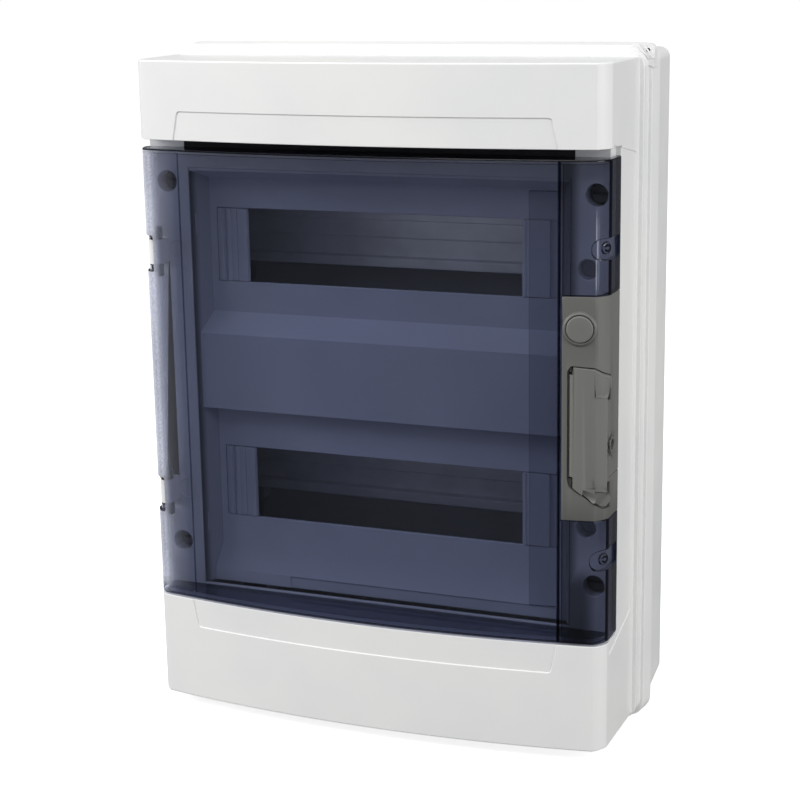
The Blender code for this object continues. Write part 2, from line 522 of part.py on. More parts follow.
def coil(cx, cy, z0, z1, r, wire, turns, around=10, section=5):
    """A compression spring along Z: wire rings swept along a helix with flat-ish ends."""
    rings = []
    steps = int(turns * around)
    for i in range(steps + 1):
        t = i / steps
        a = 2 * math.pi * turns * t
        z = z0 + wire + (z1 - z0 - 2 * wire) * t
        out = Vector((math.cos(a), math.sin(a), 0))
        centre = Vector((cx, cy, z)) + out * r
        ring = []
        for k in range(section):
            b = 2 * math.pi * k / section
            ring.append(centre + out * (wire * math.cos(b)) + Vector((0, 0, wire * math.sin(b))))
        rings.append([tuple(p) for p in ring])
    return skin(rings, "spring")


dress(coil(133.2, -130.3, 46.4, 64.6, 1.6, 0.3, 7), "latch_spring", STEEL, (133.0, -130.5, 46.4))
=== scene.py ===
"""Looks of the two-row combiner enclosure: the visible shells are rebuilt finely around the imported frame.

Lengths in the shape code are millimetres; meshes are made in metres.  Front is -Y, up is +Z.
"""
import json
import math

import bmesh
import bpy
from mathutils import Matrix, Vector


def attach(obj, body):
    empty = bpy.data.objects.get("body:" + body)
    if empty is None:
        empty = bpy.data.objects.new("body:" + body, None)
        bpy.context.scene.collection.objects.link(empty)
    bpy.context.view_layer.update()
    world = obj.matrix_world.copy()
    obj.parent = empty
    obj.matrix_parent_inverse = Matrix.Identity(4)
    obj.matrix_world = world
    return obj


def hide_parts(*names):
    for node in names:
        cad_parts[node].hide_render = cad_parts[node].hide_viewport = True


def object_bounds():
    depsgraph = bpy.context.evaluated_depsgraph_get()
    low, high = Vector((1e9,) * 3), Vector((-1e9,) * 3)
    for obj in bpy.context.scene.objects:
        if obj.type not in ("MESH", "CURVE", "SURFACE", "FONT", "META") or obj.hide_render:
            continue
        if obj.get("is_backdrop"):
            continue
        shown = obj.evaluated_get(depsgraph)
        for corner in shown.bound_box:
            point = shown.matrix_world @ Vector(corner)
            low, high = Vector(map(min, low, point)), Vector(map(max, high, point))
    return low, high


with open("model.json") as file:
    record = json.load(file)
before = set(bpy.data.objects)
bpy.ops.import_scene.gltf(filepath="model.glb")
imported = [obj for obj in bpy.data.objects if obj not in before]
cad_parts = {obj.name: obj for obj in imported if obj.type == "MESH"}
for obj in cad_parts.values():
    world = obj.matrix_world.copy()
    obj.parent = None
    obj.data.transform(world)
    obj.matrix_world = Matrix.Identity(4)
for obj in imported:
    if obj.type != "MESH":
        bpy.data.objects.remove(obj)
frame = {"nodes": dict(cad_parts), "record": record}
cad_low, cad_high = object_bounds()
NODES = frame["nodes"]
MM = 0.001

# ---- sizes shared with the frame (mm) ------------------------------------------------
X_A, Y_A, X_B, Y_B, BULGE = 139.15, -138.0, 145.5, -128.7, 11.64
COVER_HALF_H, COVER_REAR_X, WALL = 199.0, 146.7, 2.5
BAND_TOP, BAND_BOTTOM, SHOULDER_Y, STEP_X, STEP_Y = 152.4, -133.84, -120.6, 142.2, -110.7
DOOR_TOP, DOOR_BOTTOM, DOOR_T, WING_LEFT_Y, WING_RIGHT_Y = 146.9, -132.56, 3.0, -124.0, -111.0
PIVOT_X, PIVOT_Y, KNUCKLES, NOTCH_OVER, PIN_R = -139.5, -129.0, ((76.0, 91.0), (-75.5, -60.5)), 3.4, 1.5
RIM_X, RIM_Z, RIM_R, BACK_X, BACK_Z, RIM_FRONT, RIM_REAR = 152.95, 205.9, 11.0, 146.2, 200.6, -66.0, -52.0
ROWS, WINDOW_HALF_H, WINDOW_HALF_W, STRIP_INNER = (86.13, -63.87), 22.7, 108.2, 87.46
APRON_X, APRON_TOP, APRON_BOTTOM, APRON_FACE, APRON_MID, FACE_X = 119.5, 133.9, -129.2, -108.1, -117.75, 112.67
RAIL_FRONT, RAIL_HALF_L, UPRIGHT_X = -63.0, 123.0, 118.0
SCREW_X, SCREW_ZS = 134.5, (125.5, -103.0)
PLATE_X0, PLATE_TOP, PLATE_BOTTOM, PLATE_T = 120.6, 71.4, -57.9, 5.0
PLUG_X, PLUG_Z, PLUG_R = 130.6, 53.3, 7.6
LEVER_X, LEVER_Y = 127.2, -137.4
LATCH_Z, PLATE_SCREW_Z = (40.0, -38.0), (34.6, -51.5)
SOCKET_X, SOCKET_ZS, SOCKET_R = 129.6, (83.5, -68.0), 5.9
STRIP_X, STRIP_Z0, STRIP_Z1 = 121.6, 144.2, 150.8
EYE_Y, EYE_Z = -125.4, -15.2
DOOR_END_T, DOOR_END_Y = 2.6, -121.6
LINE_RIB_X0, LINE_RIB_X1, LINE_RIB_DEEP = 118.0, 119.9, 2.2


# ---- mesh helpers ----------------------------------------------------------------------
def make(name, bm):
    bmesh.ops.remove_doubles(bm, verts=bm.verts, dist=1e-6)
    bmesh.ops.recalc_face_normals(bm, faces=bm.faces)
    mesh = bpy.data.meshes.new(name)
    bm.to_mesh(mesh)
    bm.free()
    obj = bpy.data.objects.new(name, mesh)
    bpy.context.scene.collection.objects.link(obj)
    return obj


def prism(points, axis, low, high, name="tool"):
    def place(p, h):
        return {"Z": (p[0], p[1], h), "X": (h, p[0], p[1]), "Y": (p[0], h, p[1])}[axis]
    bm = bmesh.new()
    loops = [[bm.verts.new(Vector(place(p, h)) * MM) for p in points] for h in (low, high)]
    bm.faces.new(loops[0])
    bm.faces.new(loops[1])
    n = len(points)
    for i in range(n):
        bm.faces.new((loops[0][i], loops[0][(i + 1) % n], loops[1][(i + 1) % n], loops[1][i]))
    return make(name, bm)


def box(x0, x1, y0, y1, z0, z1, name="tool"):
    return prism([(x0, y0), (x1, y0), (x1, y1), (x0, y1)], "Z", z0, z1, name)


def circle(cx, cy, r, n):
    return [(cx + r * math.cos(2 * math.pi * (i + 0.5) / n), cy + r * math.sin(2 * math.pi * (i + 0.5) / n))
            for i in range(n)]


def rod(axis, a, b, r, low, high, n=40, name="tool"):
    return prism(circle(a, b, r, n), axis, low, high, name)


def lathe(axis, a, b, profile, n=48, name="tool"):
    """A turned piece: profile is (radius, position along the axis) from one end to the other."""
    rings = []
    for r, h in profile:
        ring = []
        for i in range(n):
            t = 2 * math.pi * i / n
            p, q = a + r * math.cos(t), b + r * math.sin(t)
            ring.append({"Z": (p, q, h), "X": (h, p, q), "Y": (p, h, q)}[axis])
        rings.append(ring)
    return skin(rings, name)


def rounded(hx, hz, r, y, n=14):
    ring = []
    for sx, sz, start in ((1, 1, 0), (-1, 1, 90), (-1, -1, 180), (1, -1, 270)):
        for i in range(n + 1):
            a = math.radians(start + 90 * i / n)
            ring.append((sx * (hx - r) + r * math.cos(a), y, sz * (hz - r) + r * math.sin(a)))
    return ring


def skin(rings, name, closed=False):
    bm = bmesh.new()
    loops = [[bm.verts.new(Vector(p) * MM) for p in ring] for ring in rings]
    n = len(loops[0])
    for a, b in list(zip(loops, loops[1:])) + ([(loops[-1], loops[0])] if closed else []):
        for i in range(n):
            bm.faces.new((a[i], a[(i + 1) % n], b[(i + 1) % n], b[i]))
    if not closed:
        bm.faces.new(loops[0])
        bm.faces.new(loops[-1])
    return make(name, bm)


def shaped(profile, name, closed=False, steps=4):
    """Rounded rectangles swept through a profile of (hx, hz, r, y, fillet): each fillet rounds that profile corner."""
    pts = []
    count = len(profile)
    for i, (hx, hz, r, y, f) in enumerate(profile):
        here = Vector((hx, hz, r, y))
        if f <= 0 or (not closed and i in (0, count - 1)):
            pts.append(here)
            continue
        before, after = (Vector(profile[(i + s) % count][:4]) for s in (-1, 1))
        def toward(other):
            d = other - here
            length = math.hypot(d[0], d[3])
            return here + d * min(0.49, f / max(length, 1e-6))
        a, b = toward(before), toward(after)
        for k in range(steps + 1):
            t = k / steps
            pts.append(a * (1 - t) ** 2 + here * 2 * t * (1 - t) + b * t * t)
    return skin([rounded(p[0], p[1], p[2], p[3]) for p in pts], name, closed)


def hull(points, name="tool"):
    bm = bmesh.new()
    for p in points:
        bm.verts.new(Vector(p) * MM)
    out = bmesh.ops.convex_hull(bm, input=bm.verts)
    loose = {g for g in out["geom_interior"] + out["geom_unused"] if isinstance(g, bmesh.types.BMVert)}
    bmesh.ops.delete(bm, geom=list(loose), context="VERTS")
    return make(name, bm)


def frame_ring(hx0, z00, z01, hx1, z10, z11, y0, y1, name="tool"):
    outer = [(-hx0, z00), (hx0, z00), (hx0, z01), (-hx0, z01)]
    inner = [(-hx1, z10), (hx1, z10), (hx1, z11), (-hx1, z11)]
    rings = [[(x, y0, z) for x, z in outer], [(x, y1, z) for x, z in outer],
             [(x, y1, z) for x, z in inner], [(x, y0, z) for x, z in inner]]
    return skin(rings, name, closed=True)


def combine(target, tool, operation):
    mod = target.modifiers.new("combine", "BOOLEAN")
    mod.operation, mod.solver, mod.object = operation, "EXACT", tool
    graph = bpy.context.evaluated_depsgraph_get()
    graph.update()
    mesh = bpy.data.meshes.new_from_object(target.evaluated_get(graph), depsgraph=graph)
    target.modifiers.clear()
    old, target.data = target.data, mesh
    bpy.data.meshes.remove(old)
    bpy.data.objects.remove(tool, do_unlink=True)
    return target


def cut(target, *tools):
    for tool in tools:
        combine(target, tool, "DIFFERENCE")
    return target


def add(target, *tools):
    for tool in tools:
        combine(target, tool, "UNION")
    return target


def round_corners(points, r, n=6):
    """Rounds the corners of a closed polygon; r is one radius or one per corner."""
    out = []
    m = len(points)
    for i in range(m):
        p, a, b = Vector(points[i]), Vector(points[i - 1]), Vector(points[(i + 1) % m])
        ri = r[i] if isinstance(r, (list, tuple)) else r
        u, v = (a - p), (b - p)
        if ri <= 0:
            out.append(tuple(p))
            continue
        half = u.angle(v) / 2
        d = min(ri / math.tan(half), 0.49 * u.length, 0.49 * v.length)
        s, e = p + u.normalized() * d, p + v.normalized() * d
        for k in range(n + 1):
            t = k / n
            out.append(tuple(s * (1 - t) ** 2 + p * 2 * t * (1 - t) + e * t * t))
    return out


def tidy(obj, keep_y=None):
    """Merges faces that lie in one plane and drops stray slivers; faces in the plane y = keep_y are left alone."""
    bm = bmesh.new()
    bm.from_mesh(obj.data)
    bmesh.ops.remove_doubles(bm, verts=bm.verts, dist=4e-6)
    bmesh.ops.dissolve_degenerate(bm, edges=bm.edges, dist=2e-6)
    def free(v):
        return keep_y is None or abs(v.co.y / MM - keep_y) > 0.3
    bmesh.ops.dissolve_limit(bm, angle_limit=math.radians(0.06), verts=[v for v in bm.verts if free(v)],
                             edges=[e for e in bm.edges if free(e.verts[0]) and free(e.verts[1])])
    bm.to_mesh(obj.data)
    bm.free()
    return obj


def soften(obj, width, segments=2, angle=38, keep_y=None):
    """Small radii on the sharp edges, applied to the mesh."""
    tidy(obj, keep_y)
    mod = obj.modifiers.new("edge", "BEVEL")
    mod.width, mod.segments, mod.limit_method = width * MM, segments, "ANGLE"
    mod.angle_limit, mod.use_clamp_overlap, mod.harden_normals = math.radians(angle), False, False
    mod.miter_outer = "MITER_ARC"
    graph = bpy.context.evaluated_depsgraph_get()
    graph.update()
    mesh = bpy.data.meshes.new_from_object(obj.evaluated_get(graph), depsgraph=graph)
    obj.modifiers.clear()
    old, obj.data = obj.data, mesh
    bpy.data.meshes.remove(old)
    return obj


def finish_piece(obj, name, body, looks, stands_for=(), smooth=22):
    obj.name = obj.data.name = name
    obj.data.materials.clear()
    for mat in (looks if isinstance(looks, (list, tuple)) else [looks]):
        obj.data.materials.append(mat)
    obj.data.shade_smooth()
    obj.data.set_sharp_from_angle(angle=math.radians(smooth))
    weigh = obj.modifiers.new("normals", "WEIGHTED_NORMAL")
    weigh.mode, weigh.weight, weigh.keep_sharp = "FACE_AREA", 80, True
    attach(obj, body)
    if stands_for:
        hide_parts(*stands_for)
    return obj


# ---- plan of the bowed front ---------------------------------------------------------------
def facet(inset=0.0, sign=1, n=8):
    ax, ay = X_A - 0.55 * inset, Y_A + 0.95 * inset
    bx, by = X_B - inset, Y_B + 0.35 * inset
    pts = []
    for i in range(n + 1):
        t = i / n
        swell = 0.9 * 4 * t * (1 - t) * (1 - inset / 12)
        pts.append((sign * (ax + (bx - ax) * t + 0.83 * swell), ay + (by - ay) * t - 0.56 * swell))
    return pts


def bow(inset=0.0, n=72, x0=None, x1=None):
    edge = X_A - 0.55 * inset
    x0, x1 = (-edge if x0 is None else x0), (edge if x1 is None else x1)
    pts = []
    for i in range(n + 1):
        x = x0 + (x1 - x0) * i / n
        pts.append((x, Y_A + inset - BULGE * (1 - (x / X_A) ** 2) - (0.05 * inset if abs(x) >= edge - 1e-6 else 0)))
    return pts


def front_y(x):
    return Y_A - BULGE * (1 - (x / X_A) ** 2)


def plan(inset, left_rear, right_rear):
    left = [left_rear] + list(reversed(facet(inset, -1)))
    right = facet(inset, 1) + [right_rear]
    return left[:-1] + bow(inset) + right[1:]


def plan_normal(x, y):
    """Outward direction in plan of the front skin near (x, y) mm."""
    if y > Y_B + 0.6 and abs(x) > X_A:
        return Vector((math.copysign(1, x), 0.0))
    if abs(x) < X_A - 1.6:
        return Vector((2 * BULGE * x / X_A ** 2, -1.0)).normalized()
    return Vector((math.copysign(0.83, x), -0.56)).normalized()


def front_slab(out, deep, x0=-130.0, x1=130.0, z0=-250.0, z1=250.0, n=72):
    """A curved slab that follows the bow, from out in front of the skin to deep behind it."""
    return prism(bow(-out, n, x0, x1) + bow(deep, n, x0, x1)[::-1], "Z", z0, z1)


def stack(outline, z_low, z_high, r, name, steps=4):
    """Extrudes a plan along Z with rounded top and bottom edges; outline(e) gives the plan pulled in by e."""
    rings = []
    for k in range(steps + 1):
        a = math.pi / 2 * k / steps
        rings.append((r * (1 - math.sin(a)), z_low + r * (1 - math.cos(a))))
    rings += [(e, z_low + z_high - z) for e, z in reversed(rings)]
    return skin([[(x, y, z) for x, y in outline(e)] for e, z in rings], name)


# ---- materials -------------------------------------------------------------------------------
class Tree:
    """A small wrapper that keeps the node code readable."""

    def __init__(self, name):
        self.mat = bpy.data.materials.new(name)
        self.mat.use_nodes = True
        self.nt = self.mat.node_tree
        self.nt.nodes.clear()
        self.out = self.nt.nodes.new("ShaderNodeOutputMaterial")
        self.coord = self.nt.nodes.new("ShaderNodeTexCoord").outputs["Object"]

    def new(self, kind, inputs=None, **props):
        n = self.nt.nodes.new(kind)
        for k, v in props.items():
            setattr(n, k, v)
        for k, v in (inputs or {}).items():
            if hasattr(v, "is_output"):
                self.nt.links.new(v, n.inputs[k])
            else:
                n.inputs[k].default_value = v
        return n

    def noise(self, scale, detail=2.0, rough=0.5, stretch=None):
        vec = self.coord
        if stretch:
            vec = self.new("ShaderNodeMapping", {"Vector": vec, "Scale": stretch}).outputs[0]
        return self.new("ShaderNodeTexNoise", {"Vector": vec, "Scale": scale, "Detail": detail,
                                               "Roughness": rough}).outputs["Fac"]

    def math(self, op, a, b=0.0, c=0.0, clamp=False):
        n = self.new("ShaderNodeMath", {0: a, 1: b, 2: c}, operation=op)
        n.use_clamp = clamp
        return n.outputs[0]

    def remap(self, value, a0, a1, b0, b1, smooth=False):
        return self.new("ShaderNodeMapRange", {"Value": value, "From Min": a0, "From Max": a1, "To Min": b0,
                                               "To Max": b1},
                        interpolation_type="SMOOTHSTEP" if smooth else "LINEAR").outputs[0]

    def blend(self, fac, a, b, mode="MIX"):
        n = self.new("ShaderNodeMix", data_type="RGBA", blend_type=mode)
        for i, v in ((0, fac), (6, a), (7, b)):
            if hasattr(v, "is_output"):
                self.nt.links.new(v, n.inputs[i])
            else:
                n.inputs[i].default_value = v
        return n.outputs[2]

    def bump(self, height, strength, distance, normal=None):
        ins = {"Height": height, "Strength": strength, "Distance": distance}
        if normal is not None:
            ins["Normal"] = normal
        return self.new("ShaderNodeBump", ins).outputs[0]

    def done(self, shader):
        self.nt.links.new(shader, self.out.inputs["Surface"])
        return self.mat


def rgb(*c):
    return (c[0], c[1], c[2], 1.0)


def moulded(name, colour, rough=0.36, grain=0.10, grain_scale=2600, spec=0.45, variation=0.03, tint=(0.97, 0.975, 1.0),
            edge=0.10, edge_highlight_lift=1.08, painted_shade=()):
    """Injection-moulded plastic: slow tone drift, fine texture, faint sink waves and uneven gloss, with painted edge
    highlights and optional painted shade along one axis.
    """
    t = Tree(name)
    drift = t.noise(9.0, 3.0, 0.55)
    speck = t.noise(grain_scale * 0.45, 2.0, 0.6)
    darker = rgb(*[c * (1 - variation) * k for c, k in zip(colour, tint)])
    tone = t.blend(t.remap(drift, 0.35, 0.65, 0, 1, True), darker, rgb(*colour))
    tone = t.blend(t.math("MULTIPLY", speck, 0.05), tone, rgb(*[c * 0.86 for c in colour]))
    # painted highlight: sharp edges, found by pointiness, are lightened toward a brighter copy of the colour
    painted_edge_highlight = t.remap(t.new("ShaderNodeNewGeometry").outputs["Pointiness"], 0.50, 0.56, 0.0, edge, True)
    tone = t.blend(painted_edge_highlight, tone, rgb(*[min(1.0, c * edge_highlight_lift) for c in colour]))
    for axis, a0, a1, b0, b1 in painted_shade:                        # painted shade: darker tone along one axis, in metres
        place = t.new("ShaderNodeSeparateXYZ", {"Vector": t.coord}).outputs[axis]
        tone = t.blend(t.remap(place, a0, a1, b0, b1, True), tone, rgb(*[c * 0.12 for c in colour]))
    wave = t.noise(30.0, 1.0, 0.4)
    grain_tex = t.noise(grain_scale, 2.0, 0.55)
    normal = t.bump(grain_tex, grain, 0.00006, t.bump(wave, 0.10, 0.0004))
    gloss = t.math("ADD", t.remap(t.noise(45.0, 3.0, 0.6), 0.3, 0.7, rough - 0.04, rough + 0.05), t.math("MULTIPLY", grain_tex, 0.03))
    bsdf = t.new("ShaderNodeBsdfPrincipled", {"Base Color": tone, "Roughness": gloss, "Normal": normal,
                                              "IOR": 1.5, "Specular IOR Level": spec})
    return t.done(bsdf.outputs[0])


def metal(name, colour, rough=0.32, brush=(1.0, 40.0, 40.0), dull=0.12, share=1.0):
    """Drawn or plated metal: long brush marks along one axis, cloudy plating and small scratches."""
    t = Tree(name)
    lines = t.noise(90.0, 4.0, 0.65, stretch=brush)
    cloud = t.noise(60.0, 4.0, 0.6)
    tone = t.blend(t.remap(cloud, 0.35, 0.7, 0, 1, True), rgb(*colour), rgb(*[c * (1 - dull) for c in colour]))
    tone = t.blend(t.math("MULTIPLY", lines, 0.22), tone, rgb(*[c * 0.72 for c in colour]))
    gloss = t.remap(t.math("ADD", t.math("MULTIPLY", lines, 0.6), t.math("MULTIPLY", cloud, 0.4)), 0.3, 0.7, rough - 0.06, rough + 0.12)
    bsdf = t.new("ShaderNodeBsdfPrincipled", {"Base Color": tone, "Metallic": share, "Roughness": gloss,
                                              "Normal": t.bump(lines, 0.12, 0.00005)})
    return t.done(bsdf.outputs[0])


def foam(name):
    t = Tree(name)
    cells = t.new("ShaderNodeTexVoronoi", {"Vector": t.coord, "Scale": 1500.0}).outputs["Distance"]
    tone = t.blend(cells, rgb(0.010, 0.010, 0.011), rgb(0.030, 0.030, 0.032))
    bsdf = t.new("ShaderNodeBsdfPrincipled", {"Base Color": tone, "Roughness": t.remap(cells, 0, 1, 0.75, 0.95),
                                              "Normal": t.bump(cells, 0.5, 0.0002), "Specular IOR Level": 0.25})
    return t.done(bsdf.outputs[0])


def smoked(name, tint, gloss_gain=1.0, frost_and_painted_light=False, rough=0.035):
    """Smoked polycarbonate sheet: each skin tints what is behind it and mirrors a little by Fresnel."""
    t = Tree(name)
    flow = t.noise(14.0, 3.0, 0.5)
    colour = t.blend(t.remap(flow, 0.3, 0.7, 0, 1, True), rgb(*tint), rgb(*[c * 0.965 for c in tint]))
    if frost_and_painted_light:                                                  # painted shade: the sheet is darker in a band beside the latch-side groove and low on the latch side, standing in for shade behind the sheet
        across = t.new("ShaderNodeSeparateXYZ", {"Vector": t.coord}).outputs["X"]
        painted_shade_band = t.math("MULTIPLY", t.remap(across, 0.1196, 0.1200, 0.0, 1.0), t.remap(across, 0.1240, 0.1310, 1.0, 0.0, True))
        height = t.new("ShaderNodeSeparateXYZ", {"Vector": t.coord}).outputs["Z"]
        painted_shade_foot = t.math("MULTIPLY", t.remap(across, 0.1196, 0.1200, 0.0, 1.0), t.remap(across, 0.1320, 0.1420, 1.0, 0.0, True))
        painted_shade_foot = t.math("MULTIPLY", painted_shade_foot, t.remap(height, -0.084, -0.100, 0.0, 1.0, True))
        painted_shade_band = t.math("MAXIMUM", painted_shade_band, painted_shade_foot)
        colour = t.blend(t.math("MULTIPLY", painted_shade_band, 0.75), colour, rgb(*[c * 0.42 for c in tint]))
    clear = t.new("ShaderNodeBsdfTransparent", {"Color": colour}).outputs[0]
    scuff = t.noise(700.0, 3.0, 0.65)
    normal = t.bump(t.noise(22.0, 2.0, 0.4), 0.16, 0.0006, t.bump(scuff, 0.02, 0.00003))
    mirror = t.new("ShaderNodeBsdfGlossy", {"Color": rgb(1, 1, 1), "Normal": normal,
                                            "Roughness": t.remap(scuff, 0.3, 0.7, rough, rough + 0.05)}).outputs[0]
    fresnel = t.new("ShaderNodeFresnel", {"IOR": 1.45, "Normal": normal}).outputs[0]
    back = t.new("ShaderNodeNewGeometry").outputs["Backfacing"]
    share = t.math("MULTIPLY", fresnel, t.remap(back, 0, 1, gloss_gain, 0.12), clamp=True)
    shader = t.new("ShaderNodeMixShader", {0: share, 1: clear, 2: mirror}).outputs[0]
    if frost_and_painted_light:
        split = t.new("ShaderNodeSeparateXYZ", {"Vector": t.coord}).outputs
        x, z = split["X"], split["Z"]
        near = t.remap(x, -0.1205, -0.1320, 0.022, 0.075)        # light haze over the whole strip
        fall = t.math("ADD", near, t.remap(x, -0.1318, -0.1385, 0.0, 0.60, True))
        fall = t.math("MULTIPLY", fall, t.remap(x, -0.1196, -0.1204, 0.0, 1.0))
        grit = t.noise(900.0, 3.0, 0.6)
        cloud = t.noise(24.0, 2.0, 0.5, stretch=(1.0, 1.0, 0.8))
        amount = t.math("MULTIPLY", fall, t.remap(cloud, 0.30, 0.70, 0.84, 1.12))
        amount = t.math("MULTIPLY", amount, t.remap(grit, 0.36, 0.64, 0.82, 1.12), clamp=True)
        low = t.remap(z, -0.1310, -0.1200, 0.25, 1.0, True)
        amount = t.math("MULTIPLY", amount, low)
        amount = t.math("MULTIPLY", amount, 0.95, clamp=True)
        # painted highlight: a thin milky line along the right crease, between two heights
        painted_crease_highlight = t.math("MULTIPLY", t.remap(x, 0.1388, 0.1392, 0.0, 1.0, True), t.remap(x, 0.1394, 0.1399, 1.0, 0.0, True))
        painted_crease_highlight = t.math("MULTIPLY", painted_crease_highlight, t.math("MULTIPLY", t.remap(z, 0.070, 0.080, 0.0, 1.0, True), t.remap(z, 0.108, 0.124, 1.0, 0.0, True)))
        amount = t.math("ADD", amount, t.math("MULTIPLY", painted_crease_highlight, 0.30), clamp=True)
        milk = t.new("ShaderNodeAddShader", {
            0: t.new("ShaderNodeBsdfDiffuse", {"Color": rgb(0.60, 0.61, 0.66)}).outputs[0],
            1: t.new("ShaderNodeBsdfTranslucent", {"Color": rgb(0.46, 0.48, 0.54)}).outputs[0]}).outputs[0]
        shader = t.new("ShaderNodeMixShader", {0: amount, 1: shader, 2: milk}).outputs[0]
    return t.done(shader)


SHELL = moulded("shell_light_grey", (0.800, 0.800, 0.786), rough=0.34)
TUB = moulded("tub_light_grey", (0.800, 0.800, 0.788), rough=0.42, grain=0.16, grain_scale=1800)
INNER = moulded("apron_light_grey", (0.700, 0.712, 0.735), rough=0.46, grain=0.14)
# painted shade: a darker copy of the apron grey for the left inner side walls, darkening further toward their outer end
APRON_WALL_PAINTED_SHADE = moulded("apron_side_wall_painted_shade", (0.560, 0.570, 0.590), rough=0.50, grain=0.14, painted_shade=(("X", -0.1165, -0.1192, 0.10, 0.85),))
# painted highlight: the latch greys get strong lightened edges
GREY = moulded("latch_mid_grey", (0.148, 0.148, 0.140), rough=0.44, grain=0.22, grain_scale=2200, spec=0.4, variation=0.06,
               tint=(1, 1, 1), edge=0.22, edge_highlight_lift=2.1)
# painted shade: the plate's grey darkens towards its bottom
GREY_PLATE = moulded("latch_plate_grey", (0.126, 0.126, 0.119), rough=0.46, grain=0.22, grain_scale=2200, spec=0.38, variation=0.06,
                     tint=(1, 1, 1), edge=0.22, edge_highlight_lift=2.1, painted_shade=(("Z", -0.038, -0.060, 0.0, 0.32),))
# painted highlight: a lighter grey copy of the latch grey for the face over the grip
GREY_GLINT = moulded("latch_lit_face", (0.42, 0.42, 0.41), rough=0.38, grain=0.12, spec=0.5, tint=(1, 1, 1))
GREEN = moulded("carrier_green", (0.045, 0.150, 0.072), rough=0.48, grain=0.2, variation=0.1, tint=(1, 1, 1))
STEEL = metal("zinc_plated_steel", (0.86, 0.87, 0.88), rough=0.40, share=0.25)
STEEL_Z = metal("zinc_plated_upright", (0.58, 0.59, 0.61), brush=(40.0, 40.0, 1.0))
BOLT = metal("screw_steel", (0.66, 0.66, 0.65), rough=0.28, brush=(8.0, 8.0, 8.0))
BRASS = metal("drawn_brass", (0.78, 0.56, 0.24), rough=0.26)
FOAM = foam("black_cellular_rubber")
SMOKE = smoked("smoked_sheet", (0.603, 0.623, 0.700), frost_and_painted_light=True)
SMOKE_PAD = smoked("smoked_sheet_double", (0.445, 0.462, 0.540))
SMOKE_EDGE = smoked("smoked_sheet_edge", (0.300, 0.315, 0.400), gloss_gain=1.2, rough=0.10)
SMOKE_TOP = smoked("smoked_sheet_top_wall", (0.900, 0.905, 0.930), gloss_gain=0.8)
SMOKE_LINE = smoked("smoked_sheet_outline", (0.030, 0.032, 0.055), gloss_gain=0.8, rough=0.12)

# ---- rear tub -----------------------------------------------------------------------------------
tub = shaped([
    (BACK_X - 4.0, BACK_Z - 4.0, 4.0, 0.0, 0), (BACK_X - 2.6, BACK_Z - 2.6, 4.6, 0.0, 0),
    (BACK_X - 0.2, BACK_Z - 0.2, 6.3, -0.6, 0), (BACK_X, BACK_Z, 6.5, -3.0, 1.5),
    (149.8, 201.9, 8.0, RIM_REAR, 0.7), (RIM_X, RIM_Z, RIM_R, RIM_REAR - 0.9, 0.8),
    (RIM_X - 1.4, RIM_Z - 1.4, RIM_R - 1.2, RIM_FRONT, 0.8), (149.3, 202.0, 9.0, RIM_FRONT, 0.5),
    (149.3, 202.0, 9.0, -71.5, 0.6), (146.2, 198.9, 8.0, -71.5, 0.5),
    (146.2, 198.9, 8.0, -60.0, 0.5), (143.2, 197.6, 5.0, -3.0, 0),
], "tub")
for sx in (-1, 1):
    for z in SCREW_ZS:
        add(tub, lathe("Y", sx * SCREW_X, z, [(5.6, -2.4), (5.2, -60.0), (5.2, -94.4), (4.7, -94.9)]))
        cut(tub, rod("Y", sx * SCREW_X, z, 2.6, -96.0, -74.0))
    for sz in (-1, 1):
        add(tub, rod("Y", sx * UPRIGHT_X, sz * 160.0, 6.0, -52.9, -2.0))
        cut(tub, rod("Y", sx * UPRIGHT_X, sz * 160.0, 2.2, -54.0, -36.0))
        cut(tub, lathe("Y", sx * 96.0, sz * 178.0, [(3.0, -10.0), (3.0, -1.2), (3.9, -0.3), (4.4, 5.0)]))
    add(tub, rod("Y", sx * 60.0, -150.0, 5.0, -24.7, -2.0))
    cut(tub, rod("Y", sx * 60.0, -150.0, 1.9, -26.0, -12.0))
for sz, entries in ((-1, ((-84.0, 12.5), (-42.0, 16.0), (0.0, 10.0), (42.0, 16.0), (84.0, 12.5))),
                    (1, ((-60.0, 12.5), (60.0, 12.5)))):
    for x, r in entries:
        low, high = (200.4, 206.0) if sz > 0 else (-206.0, -200.4)
        for rr in (r, r * 0.62):
            ring = rod("Z", x, -27.0, rr, low, high, 56)
            cut(ring, rod("Z", x, -27.0, rr - 0.8, low - 1, high + 1, 56))
            cut(tub, ring)
        cut(tub, rod("Z", x, -27.0, 1.0, low, high, 16))
for side in (-1, 1):                                         # shallow reinforcing field on the wall face
    field = rod("Y", side * 0.0, side * 96.0, 26.0, -0.5, 2.0, 64)
    inner = rod("Y", side * 0.0, side * 96.0, 24.8, -1.0, 3.0, 64)
    cut(field, inner)
    cut(tub, field)
lug = prism(round_corners([(140.0, 205.7), (152.75, 205.7), (152.75, 192.0), (140.0, 197.0)], [0.5, 4.6, 0.5, 0.5]), "Y", -66.5, -60.0)
add(tub, lug)
cut(tub, lathe("Y", 148.9, 201.8, [(1.25, -70.0), (1.25, -64.6), (0.5, -63.4)], 24))
for off in (0.0, 3.4):                                       # two slanted ridges beside the corner hole
    a, b = (142.6 + off, 205.2), (149.4 + off * 0.82, 197.2)
    d = Vector((b[0] - a[0], b[1] - a[1])).normalized()
    n = Vector((-d.y, d.x)) * 0.42
    add(tub, prism([(a[0] + n.x, a[1] + n.y), (b[0] + n.x, b[1] + n.y), (b[0] - n.x, b[1] - n.y), (a[0] - n.x, a[1] - n.y)],
                   "Y", -67.1, -66.0))
tidy(tub)
finish_piece(tub, "rear_tub_shell", "enclosure", TUB, ("rear_enclosure",))

# ---- front cover -----------------------------------------------------------------------------------
def cover_plan(e):
    return plan(e, (-COVER_REAR_X + e, -75.5), (COVER_REAR_X - e, -75.5))


